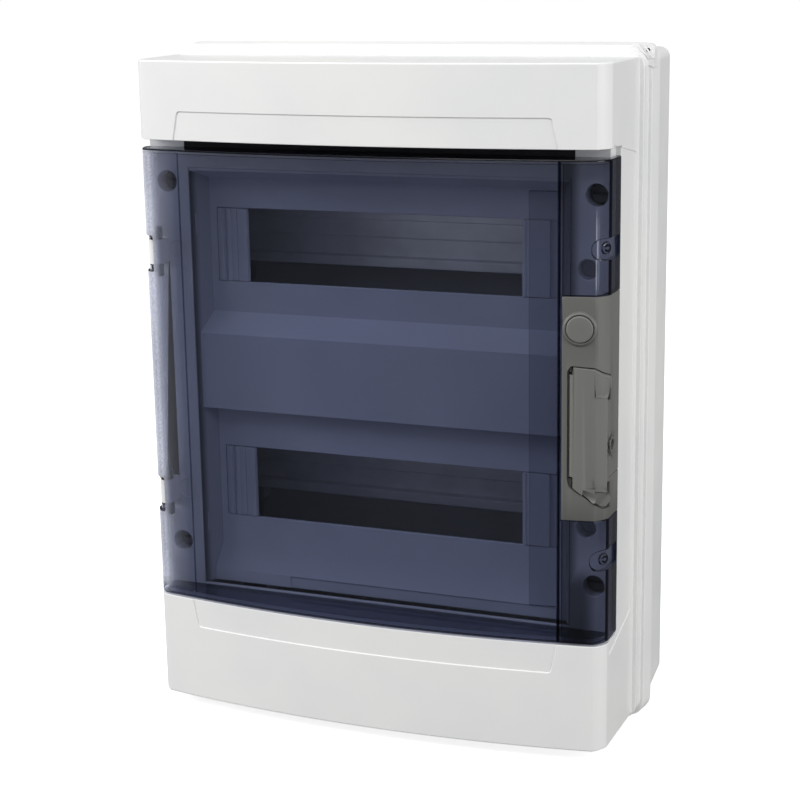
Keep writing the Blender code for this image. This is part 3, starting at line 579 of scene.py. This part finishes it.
cover = stack(cover_plan, -COVER_HALF_H, COVER_HALF_H, 1.1, "cover", 4)
bay = box(-170, 170, -170, SHOULDER_Y, BAND_BOTTOM, BAND_TOP)
cut(cover, bay, box(STEP_X, 170, -130, STEP_Y, BAND_BOTTOM, BAND_TOP))
hollow = prism(plan(WALL, (-COVER_REAR_X + WALL, -60.0), (COVER_REAR_X - WALL, -60.0)), "Z",
               -COVER_HALF_H + WALL, COVER_HALF_H - WALL)
cut(hollow, box(-170, 170, -170, SHOULDER_Y + WALL, BAND_BOTTOM - WALL, BAND_TOP + WALL),
    box(STEP_X - WALL, 170, -130, STEP_Y + WALL, BAND_BOTTOM - WALL, BAND_TOP + WALL))
cut(cover, hollow)
cut(cover, box(-119.9, 119.9, -125, -110, -129.5, 134.2))
for top, edge in ((True, BAND_TOP), (False, BAND_BOTTOM)):   # shallow panels with slanted ends on the two bands
    s = 1 if top else -1
    deep = 17.0 if top else 17.6
    panel = prism(round_corners([(-119.2, edge - s * 4.0), (-114.7, edge + s * deep), (114.7, edge + s * deep), (119.2, edge - s * 4.0)],
                                [0, 2.6, 2.6, 0]), "Y", -165, -120)
    combine(panel, front_slab(3.0, 0.55, -128, 128), "INTERSECT")
    cut(cover, panel)
for sx in (-1, 1):                                           # side fields with slanted ends
    field = prism(round_corners([(-126.0, 153.8), (-81.6, 145.8), (-81.6, -129.6), (-126.0, -142.4)], [0, 2.0, 2.0, 0]), "X",
                  min(sx * 120, sx * 160), max(sx * 120, sx * 160))
    slope = 1.2 / 52.4
    def side_x(y, off):
        return X_B + slope * (y - Y_B) - off
    slab = prism([(sx * side_x(-128.2, 0.42), -128.2), (sx * 160, -128.2), (sx * 160, -80.0), (sx * side_x(-80.0, 0.42), -80.0)], "Z", -170, 170)
    combine(field, slab, "INTERSECT")
    cut(cover, field)
flange = shaped([(149.5, 202.3, 9.0, -76.3, 0.8), (149.5, 202.3, 9.0, -72.2, 0.5), (148.1, 200.9, 8.5, -72.2, 0.3),
                 (148.1, 200.9, 8.5, -74.8, 0.3), (145.9, 198.6, 7.7, -74.8, 0.3), (145.9, 198.6, 7.7, -70.5, 0.3),
                 (143.6, 196.2, 6.5, -70.5, 0.3), (143.6, 196.2, 6.5, -76.3, 0.3)], "flange", closed=True, steps=3)
add(cover, flange)
for sx in (-1, 1):
    for z in SCREW_ZS:
        add(cover, rod("Y", sx * SCREW_X, z, 8.0, -118.6, -97.0))
        cut(cover, rod("Y", sx * SCREW_X, z, 6.5, -122.0, -100.0), rod("Y", sx * SCREW_X, z, 2.6, -101, -96))
    for z in SOCKET_ZS:
        add(cover, rod("Y", sx * SOCKET_X, z, 7.3, -118.6, -107.0))
        cut(cover, rod("Y", sx * SOCKET_X, z, SOCKET_R, -122.0, -109.0 if sx > 0 else -120.0))
cut(cover, box(-STRIP_X - 0.3, STRIP_X + 0.3, -125, -119.4, STRIP_Z0 - 0.3, STRIP_Z1 + 0.3))
for low, high in KNUCKLES:
    add(cover, box(PIVOT_X - 4.0, PIVOT_X + 4.0, PIVOT_Y, SHOULDER_Y + 1.0, low, high),
        rod("Z", PIVOT_X, PIVOT_Y, 4.3, low, high))
    cut(cover, rod("Z", PIVOT_X, PIVOT_Y, PIN_R + 0.15, low - 1, high + 1))
for z in LATCH_Z:
    cut(cover, box(128.8, 137.2, -125, -110, z - 4.2, z + 12.4))
soften(cover, 0.32, 2, 40, keep_y=-76.3)
finish_piece(cover, "front_cover_shell", "cover", SHELL, ("front_cover",))

# ---- apron, blanking strips, rails ----------------------------------------------------------------------
F, M, T = APRON_FACE, APRON_MID, 2.5
face = [(F, APRON_TOP), (F, 44.6), (M, 32.1), (M, -15.44), (F, -16.6), (F, -104.96), (-113.84, -121.14), (-113.84, APRON_BOTTOM)]
back = [(-113.84 + T, APRON_BOTTOM), (-113.84 + T, -120.0), (F + T, -103.0), (F + T, -14.4), (M + T, -13.2),
        (M + T, 31.0), (F + T, 43.2), (F + T, APRON_TOP)]
apron = prism(face + back, "X", -APRON_X, APRON_X, "apron")
for sx in (-1, 1):
    add(apron, prism([(sx * FACE_X, F), (sx * APRON_X, SHOULDER_Y), (sx * APRON_X, F + 2.0), (sx * FACE_X, F + 2.0)],
                     "Z", APRON_BOTTOM, APRON_TOP))
add(apron, prism([(F, 126.74), (SHOULDER_Y, 132.4), (SHOULDER_Y, APRON_TOP + 0.25), (F + 1.0, APRON_TOP), (F + 1.0, 126.74)],
                 "X", -APRON_X, APRON_X))
for sx in (-1, 1):
    for z in (100.0, -90.0):
        a, b = sorted((sx * 117.0, sx * 122.6))
        add(apron, box(a, b, -117.6, -115.2, z - 6, z + 6))
cut(apron, prism([(-116.5, -140.0), (-113.2, -129.3), (-113.2, -121.9), (-116.5, -121.9)], "X", -63.2, 113.0))
for z in ROWS:
    cut(apron, box(-WINDOW_HALF_W, WINDOW_HALF_W, -125, -100, z - WINDOW_HALF_H, z + WINDOW_HALF_H))
soften(apron, 0.35, 2, 24)
finish_piece(apron, "module_apron_shell", "cover", [INNER, APRON_WALL_PAINTED_SHADE], ("module_apron",))
# painted shade: the left inner side walls take the darker copy
for poly in apron.data.polygons:
    if poly.center.x < -0.1120 and poly.normal.x > 0.25:
        poly.material_index = 1

for z, row in zip(ROWS, ("upper", "lower")):
    top, low = z + WINDOW_HALF_H - 0.5, z - WINDOW_HALF_H + 0.4
    strip = box(-WINDOW_HALF_W + 0.3, -STRIP_INNER, F + 0.3, F + 2.1, low, top)
    for x, w in ((-104.7, 0.9), (-99.6, 1.2), (-88.9, 1.1)):
        add(strip, box(x - w, x + w, F - 0.7, F + 1.0, low, top))
    cut(strip, box(-102.9, -101.7, F, F + 1.2, low - 1, top + 1), box(-95.0, -94.4, F, F + 0.9, low - 1, top + 1))
    soften(strip, 0.22, 2, 40)
    finish_piece(strip, "blanking_strip_%s_left_shell" % row, "cover", INNER, ("blanking_strip_%s_left" % row,))
    strip = box(STRIP_INNER, 103.9, F - 0.4, F + 2.1, low, top)
    add(strip, box(103.0, WINDOW_HALF_W - 0.3, F + 1.2, F + 2.1, low, top),
        box(STRIP_INNER, STRIP_INNER + 2.0, F - 0.9, F + 0.5, low, top))
    soften(strip, 0.22, 2, 40)
    finish_piece(strip, "blanking_strip_%s_right_shell" % row, "cover", INNER, ("blanking_strip_%s_right" % row,))
    f = RAIL_FRONT
    hat = [(f, z - 17.5), (f + 1, z - 17.5), (f + 1, z - 12.5), (f + 7.5, z - 12.5), (f + 7.5, z + 12.5),
           (f + 1, z + 12.5), (f + 1, z + 17.5), (f, z + 17.5), (f, z + 11.5), (f + 6.5, z + 11.5),
           (f + 6.5, z + 0.5), (f + 6.9, z), (f + 6.5, z - 0.5), (f + 6.5, z - 11.5), (f, z - 11.5)]
    hat = round_corners(hat, [0.3, 0.3, 0.4, 1.2, 1.2, 0.4, 0.3, 0.3, 1.2, 0.4, 0, 0, 0, 0.4, 1.2], 4)
    rail = prism(hat, "X", -RAIL_HALF_L, RAIL_HALF_L)
    for sx in (-1, 1):
        cut(rail, rod("Y", sx * UPRIGHT_X, z, 2.4, -60, -50, 24))
    tidy(rail)
    finish_piece(rail, "din_rail_%s_formed" % row, "enclosure", STEEL, ("din_rail_%s" % row,))

# ---- smoked door --------------------------------------------------------------------------------------------
def door_plan(e):
    outer = plan(e, (-X_B + 0.2 * e, WING_LEFT_Y), (X_B + 0.2 - e, WING_RIGHT_Y))
    inner = plan(DOOR_T, (-X_B + DOOR_T, WING_LEFT_Y), (X_B + 0.2 - DOOR_T, WING_RIGHT_Y))
    return outer + inner[::-1]


door = stack(door_plan, DOOR_BOTTOM, DOOR_TOP, 0.9, "door", 3)
for sx in (-1, 1):
    lo, hi = sorted((sx * LINE_RIB_X0, sx * LINE_RIB_X1))
    root = front_y(LINE_RIB_X1) + DOOR_T
    add(door, box(lo, hi, root - 1.2, root + LINE_RIB_DEEP, DOOR_BOTTOM + 1.2, DOOR_TOP - 1.2))
for lo, hi in ((DOOR_BOTTOM, DOOR_BOTTOM + DOOR_END_T), (DOOR_TOP - DOOR_END_T, DOOR_TOP)):
    add(door, prism(plan(1.0, (-143.5, WING_LEFT_Y), (143.5, DOOR_END_Y)) + [(-140.5, DOOR_END_Y)], "Z", lo + (0.3 if lo < 0 else 0), hi - (0 if lo < 0 else 0.3)))
groove = box(LINE_RIB_X0 + 0.2, LINE_RIB_X0 + 1.7, -160, -100, DOOR_BOTTOM + 1.0, DOOR_TOP - 1.0)   # fine outside groove
combine(groove, prism(bow(-2.0, 72, -130, 130) + bow(0.35, 72, -130, 130)[::-1], "Z", -150, 150), "INTERSECT")
cut(door, groove)
pad = prism(round_corners([(101.4, -111.5), (117.0, -111.5), (117.0, 129.5), (101.4, 129.5)], 1.0), "Y", -165, -120)
combine(pad, front_slab(-2.4, 3.5, 95, 125), "INTERSECT")
add(door, pad)
for low, high in KNUCKLES:
    cut(door, prism(round_corners([(-160, low - NOTCH_OVER), (-136.4, low - NOTCH_OVER), (-136.4, high + NOTCH_OVER), (-160, high + NOTCH_OVER)],
                                  [0, 1.6, 1.6, 0]), "Y", -150, -118))
    for a, b in ((high + 0.4, high + 7.4), (low - 7.4, low - 0.4)):
        add(door, rod("Z", PIVOT_X, PIVOT_Y, 4.2, a, b))
        cut(door, rod("Z", PIVOT_X, PIVOT_Y, PIN_R + 0.15, a - 1, b + 1))
for z in (122.8, -106.6):
    cut(door, prism(round_corners([(-150.0, z + 3.8), (-143.7, z + 1.8), (-143.7, z - 1.8), (-150.0, z - 3.8)], [0, 0.8, 0.8, 0]), "Y", -150, -118))
cut(door, box(120.3, 170, -160, -100, PLATE_BOTTOM - 0.3, PLATE_TOP + 0.3))
for z in (97.6, -82.2):                                       # U-shaped pockets with a domed boss in the right corner
    outline = [(160.0, z + 6.0), (142.4, z + 6.0)]
    outline += [(142.4 - 6.0 * math.sin(math.pi * k / 14), z + 6.0 * math.cos(math.pi * k / 14)) for k in range(1, 14)]
    outline += [(142.4, z - 6.0), (160.0, z - 6.0)]
    pocket = prism(outline, "Y", -150, -112)
    shell = prism(bow(-3, 24, 130, X_A + 1.6)[:-1] + facet(-3, 1) + [(X_B + 3, -112), (X_B - 1.5, -112)] +
                  (bow(1.5, 24, 130, X_A - 0.8)[:-1] + facet(1.5, 1))[::-1], "Z", z - 12, z + 12)
    combine(pocket, shell, "INTERSECT")
    cut(door, pocket)
    boss = lathe("Y", 0, 0, [(3.4, 1.2), (3.4, -0.9), (3.0, -1.35), (2.2, -1.5), (2.0, -1.0), (1.6, -1.35), (0.9, -1.8), (0.3, -1.9)], 32)
    boss.data.transform(Matrix.Translation(Vector((142.6, -131.4, z + 0.6)) * MM) @ Matrix.Rotation(math.radians(56), 4, "Z"))
    add(door, boss)
soften(door, 0.22, 2, 40)
mesh = door.data
door = finish_piece(door, "door_sheet", "door", [SMOKE, SMOKE_EDGE, SMOKE_PAD, SMOKE_LINE, SMOKE_TOP], ("door_panel",))
for poly in mesh.polygons:
    c, n = poly.center / MM, poly.normal
    across = abs(n.x * plan_normal(c.x, c.y).x + n.y * plan_normal(c.x, c.y).y)
    rib = LINE_RIB_X0 - 0.1 < abs(c.x) < LINE_RIB_X1 + 0.1 and n.y < -0.9 and 0.2 < c.y - front_y(c.x) < 0.8
    outline = (c.x > 144.6 and c.y < Y_B + 1.6 and abs(n.z) < 0.5 and across > 0.8 and abs(abs(n.x) - 0.93) < 0.08)
    wing = c.x < -142.3 and abs(n.x) > 0.9 and c.y > Y_B - 0.4
    notch = c.x < -136.2 and abs(n.z) > 0.3 and DOOR_BOTTOM + 4 < c.z < DOOR_TOP - 4
    if rib or 0.22 < abs(n.z) < 0.93 or outline or wing or notch:
        poly.material_index = 3
    elif LINE_RIB_X0 - 0.3 < abs(c.x) < LINE_RIB_X1 + 0.3 and c.y > front_y(c.x) + DOOR_T - 0.6:
        poly.material_index = 0
    elif abs(n.z) > 0.93:
        deep = c.y > front_y(c.x) + 4
        poly.material_index = 4 if deep and c.z > 140 else (0 if deep else 1)
    elif across < 0.80 or (c.y > -123.0 and abs(c.x) < 141.0) or (c.x > 144.6 and abs(n.x) > 0.95):
        poly.material_index = 1
    elif 101.0 < c.x < 117.4 and -112.2 < c.z < 130.2 and n.y > 0.5 and c.y > front_y(c.x) + 3.2:
        poly.material_index = 2

# ---- latch plate, lock blank and lever ----------------------------------------------------------------------
def corner_slab(x0, out, deep, end, n=16):
    outer_pts = bow(-out, n, x0, X_A + 0.55 * out)[:-1] + facet(-out, 1)
    inner_pts = bow(deep, n, x0, X_A - 0.55 * deep)[:-1] + facet(deep, 1)
    if end is None:
        return outer_pts + inner_pts[::-1]
    return outer_pts + [(X_B + out + 0.2, end), (X_B - deep + 0.2, end)] + inner_pts[::-1]


plate = stack(lambda e: corner_slab(PLATE_X0 + e, -e, PLATE_T, WING_RIGHT_Y), PLATE_BOTTOM, PLATE_TOP, 0.5, "plate", 3)
tilt = math.atan(2 * BULGE * PLUG_X / X_A ** 2)
plug_y = front_y(PLUG_X)


def tilted(obj):
    obj.data.transform(Matrix.Translation(Vector((PLUG_X, plug_y, PLUG_Z)) * MM) @ Matrix.Rotation(tilt, 4, "Z"))
    return obj


add(plate, tilted(lathe("Y", 0, 0, [(9.75, 2.0), (9.75, -0.1), (9.45, -0.55), (8.9, -0.95), (8.5, -1.15), (8.3, -1.2)], 96)))
cut(plate, tilted(lathe("Y", 0, 0, [(8.15, -6.0), (8.15, -1.0), (7.85, -0.55), (7.85, 12.0)], 96)), tilted(rod("Y", 0, 0, 9.5, 4.9, 14.0, 64)))
pocket_outline = [(LEVER_X - 3.6, 28.9), (LEVER_X - 1.6, 32.1), (139.2, 31.2), (146.2, 25.9), (152, 25.0), (152, -51.2),
                  (142.9, -51.4), (139.2, -48.4), (129.2, -41.2), (124.9, -38.3), (LEVER_X - 3.6, -34.2)]
pocket = prism(round_corners(pocket_outline, [1.6, 1.6, 2, 0.6, 0, 0, 1, 1, 3, 2.4, 2.4]), "Y", -160, -100)
combine(pocket, prism(corner_slab(121.0, 3.0, 2.5, Y_B + 0.8), "Z", -60, 60), "INTERSECT")
cut(pocket, box(143.3, 160, -150, -100, -36.0, 11.6))
add(pocket, rod("Z", LEVER_X, LEVER_Y, 3.3, -33.4, 28.2))
cut(plate, pocket)
eye_groove = rod("X", EYE_Y, EYE_Z, 6.0, 143.6, 147.0, 48)
cut(eye_groove, rod("X", EYE_Y, EYE_Z, 4.9, 143.0, 148.0, 48))
cut(plate, eye_groove)
add(plate, lathe("X", EYE_Y, EYE_Z, [(4.9, 143.0), (4.9, 145.9), (4.6, 146.2), (3.4, 146.2)], 40))
cut(plate, rod("X", EYE_Y, EYE_Z, 3.3, 142.6, 147.0, 40), box(145.2, 150, -140, -100, -33.6, -33.1))
cut(plate, rod("Z", LEVER_X, LEVER_Y, 1.35, -45.0, 37.5, 24))
cut(plate, box(118, 142.6, -121.0, -100, -70, 80))
for z in PLATE_SCREW_Z:
    add(plate, rod("Y", 126.0, z, 2.6, -136.0, -128.2, 28))
    cut(plate, rod("Y", 126.0, z, 1.3, -134.5, -128.0, 24))
soften(plate, 0.30, 2, 36)
finish_piece(plate, "latch_plate_moulding", "door", GREY_PLATE, ("latch_plate",))

plug = tilted(lathe("Y", 0, 0, [(9.0, 6.3), (9.0, 5.3), (7.6, 5.3), (7.6, -0.9), (7.45, -1.25), (7.1, -1.5), (6.6, -1.6), (2.0, -1.6), (0.2, -1.6)], 96))
finish_piece(plug, "lock_blank_disc", "door", GREY, ("lock_blank",), 35)

lever_outline = [(LEVER_X - 3.8, 27.6), (LEVER_X - 0.8, 31.5), (139.0, 30.5), (139.4, 30.3), (145.8, 25.2), (146.5, 24.5), (146.5, 18.9),
                 (140.0, 14.4), (140.0, -41.0), (140.4, -46.6), (139.0, -47.2), (129.8, -40.5), (125.4, -36.8), (LEVER_X - 3.8, -32.4)]
lever = prism(round_corners(lever_outline, [1.4, 1.8, 0, 0, 0.6, 0.6, 0, 0, 0, 0, 0.6, 3.0, 2.4, 2.0]), "Y", -160, -100, "lever")
combine(lever, prism(corner_slab(LEVER_X, 1.1, 1.6, None), "Z", -60, 60), "INTERSECT")
add(lever, rod("Z", LEVER_X, LEVER_Y, 3.1, -32.2, 27.0, 56))
paddle = prism([(139.2, -138.4), (139.755, -139.045), (146.3, -137.9), (146.4, -137.2), (145.7, -136.5),
                (139.4, -137.4)], "Z", -40.0, 14.6)
web = hull([(139.5, -139.15, 14.7), (146.3, -137.8, 15.0), (146.1, -129.7, 19.2),
            (139.5, -137.7, 13.0), (146.0, -136.7, 13.2), (145.3, -129.4, 17.6)])
tail = hull([(139.0, -139.15, -38.0), (146.3, -137.85, -38.4), (147.0, -136.2, -41.6), (147.5, -133.4, -44.2), (147.0, -131.6, -46.4),
             (145.0, -133.9, -49.4), (142.2, -136.2, -49.0), (139.2, -138.4, -46.4),
             (138.8, -137.2, -38.0), (145.3, -136.3, -38.4), (146.4, -131.0, -46.0), (142.0, -134.6, -48.6)])
add(lever, paddle, web, tail)
scoop = rod("Z", 0, 0, 5.0, -9.0, 9.0, 40)
scoop.data.transform(Matrix.Translation(Vector((141.4, -143.4, -44.4)) * MM) @ Matrix.Rotation(math.radians(100), 4, "Y"))
cut(lever, scoop)
cut(lever, rod("Z", LEVER_X, LEVER_Y, 1.3, -40, 40, 24))
soften(lever, 0.30, 3, 32)
finish_piece(lever, "pull_lever_moulding", "lever", [GREY, GREY_GLINT], ("pull_lever",))
for poly in lever.data.polygons:                              # painted highlight: the slanted face over the grip takes the lighter grey copy
    c = poly.center / MM
    if c.x > 139.6 and 14.8 < c.z < 18.6 and poly.normal.z < -0.25:
        poly.material_index = 1

# ---- pieces kept from the frame: finer finish -----------------------------------------------------------------
SLOTS = {s["node"]: s["material_slot"] for s in frame["record"]["subparts"]}
LOOK = {"shell": SHELL, "inner": INNER, "grey": GREY, "steel": STEEL, "brass": BRASS, "foam": FOAM, "carrier": GREEN, "smoked": SMOKE}
for name, obj in NODES.items():
    if obj.hide_render:
        continue
    slot = SLOTS.get(name, "steel")
    look = LOOK[slot]
    if slot == "steel":
        look = STEEL_Z if name.startswith("upright_left") or name.startswith("upright_right") else (BOLT if "screw" in name or "pin" in name else STEEL)
    obj.data.materials.clear()
    obj.data.materials.append(look)
    bevel = obj.modifiers.new("edge", "BEVEL")
    bevel.width, bevel.segments, bevel.limit_method = 0.00018, 2, "ANGLE"
    bevel.angle_limit, bevel.use_clamp_overlap = math.radians(40), True

# ---- studio ------------------------------------------------------------------------------------------------------
scene = bpy.context.scene
scene.view_settings.view_transform = "Standard"
scene.view_settings.look = "None"

floor_bm = bmesh.new()
bmesh.ops.create_grid(floor_bm, x_segments=1, y_segments=1, size=14.0)
floor = make("studio_floor", floor_bm)
floor.location = (0, 0, cad_low.z - 0.0006)
t = Tree("studio_floor")
sheet = t.new("ShaderNodeBsdfDiffuse", {"Color": t.blend(t.noise(3.0), rgb(0.80, 0.80, 0.80), rgb(0.82, 0.82, 0.82))}).outputs[0]
rays = t.new("ShaderNodeLightPath").outputs
glow = t.new("ShaderNodeEmission", {"Color": rgb(1, 1, 1), "Strength": 0.62}).outputs[0]
shown = t.new("ShaderNodeAddShader", {0: sheet, 1: glow}).outputs[0]
bounce = t.new("ShaderNodeEmission", {"Color": rgb(1, 1, 1), "Strength": t.remap(rays["Is Glossy Ray"], 0, 1, 0.42, 0.09)}).outputs[0]
floor.data.materials.append(t.done(t.new("ShaderNodeMixShader", {0: rays["Is Camera Ray"], 1: bounce, 2: shown}).outputs[0]))
floor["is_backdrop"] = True

world = bpy.data.worlds.new("studio")
world.use_nodes = True
scene.world = world
wt = world.node_tree
wt.nodes.clear()
w_out = wt.nodes.new("ShaderNodeOutputWorld")
path = wt.nodes.new("ShaderNodeLightPath")
kinds = [wt.nodes.new("ShaderNodeBackground") for _ in range(3)]      # what lights, what is mirrored, what is seen
for sky, strength in zip(kinds, (0.50, 0.22, 1.0)):
    sky.inputs["Color"].default_value = (1, 1, 1, 1)
    sky.inputs["Strength"].default_value = strength
mirror_mix, mix = wt.nodes.new("ShaderNodeMixShader"), wt.nodes.new("ShaderNodeMixShader")
wt.links.new(path.outputs["Is Glossy Ray"], mirror_mix.inputs[0])
wt.links.new(kinds[0].outputs[0], mirror_mix.inputs[1])
wt.links.new(kinds[1].outputs[0], mirror_mix.inputs[2])
wt.links.new(path.outputs["Is Camera Ray"], mix.inputs[0])
wt.links.new(mirror_mix.outputs[0], mix.inputs[1])
wt.links.new(kinds[2].outputs[0], mix.inputs[2])
wt.links.new(mix.outputs[0], w_out.inputs["Surface"])


def softbox(name, at, aim, size, power, colour=(1, 1, 1)):
    data = bpy.data.lights.new(name, "AREA")
    data.shape, data.size, data.size_y, data.energy, data.color = "RECTANGLE", size[0], size[1], power, colour
    lamp = bpy.data.objects.new(name, data)
    scene.collection.objects.link(lamp)
    lamp.location = at
    lamp.rotation_mode = "QUATERNION"
    lamp.rotation_quaternion = (Vector(aim) - Vector(at)).to_track_quat("-Z", "Y")
    return lamp


softbox("key", (-1.76, -0.94, 1.02), (0, -0.1, 0.02), (0.9, 1.1), 36.0)
softbox("top", (0.15, -1.25, 1.62), (0, -0.1, 0), (1.3, 0.8), 12.0)
softbox("overhead", (0.0, -0.12, 1.75), (0, -0.10, 0), (0.9, 0.6), 5.0)
softbox("fill", (2.05, -0.55, 0.66), (0, -0.08, 0), (0.9, 1.2), 21.0)

for row, z in zip(("upper", "lower"), ROWS):                   # low light on the rails behind each window
    lamp = softbox("row_fill_" + row, (0.022, -0.104, z * MM + 0.002), (0.012, 0.0, z * MM - 0.008), (0.125, 0.034), 0.0060 if row == "upper" else 0.0018)
    lamp.visible_camera = False

camera_data = bpy.data.cameras.new("camera")
camera_data.sensor_width, camera_data.lens = 36.0, 82.543
camera_data.shift_x, camera_data.shift_y = 0.00794, -0.02363
camera = bpy.data.objects.new("camera", camera_data)
scene.collection.objects.link(camera)
right, up = Vector((0.92931364, 0.3688926, -0.01715847)), Vector((-0.06910054, 0.21934474, 0.97319731))
behind = right.cross(up)
turn = Matrix((right, up, behind)).transposed().to_4x4()
camera.matrix_world = Matrix.Translation((0.40542, -1.10191, 0.26023)) @ turn
camera_data.clip_start, camera_data.clip_end = 0.01, 100.0
scene.camera = camera

# ---- sizes -----------------------------------------------------------------------------------------------------------
low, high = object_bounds()
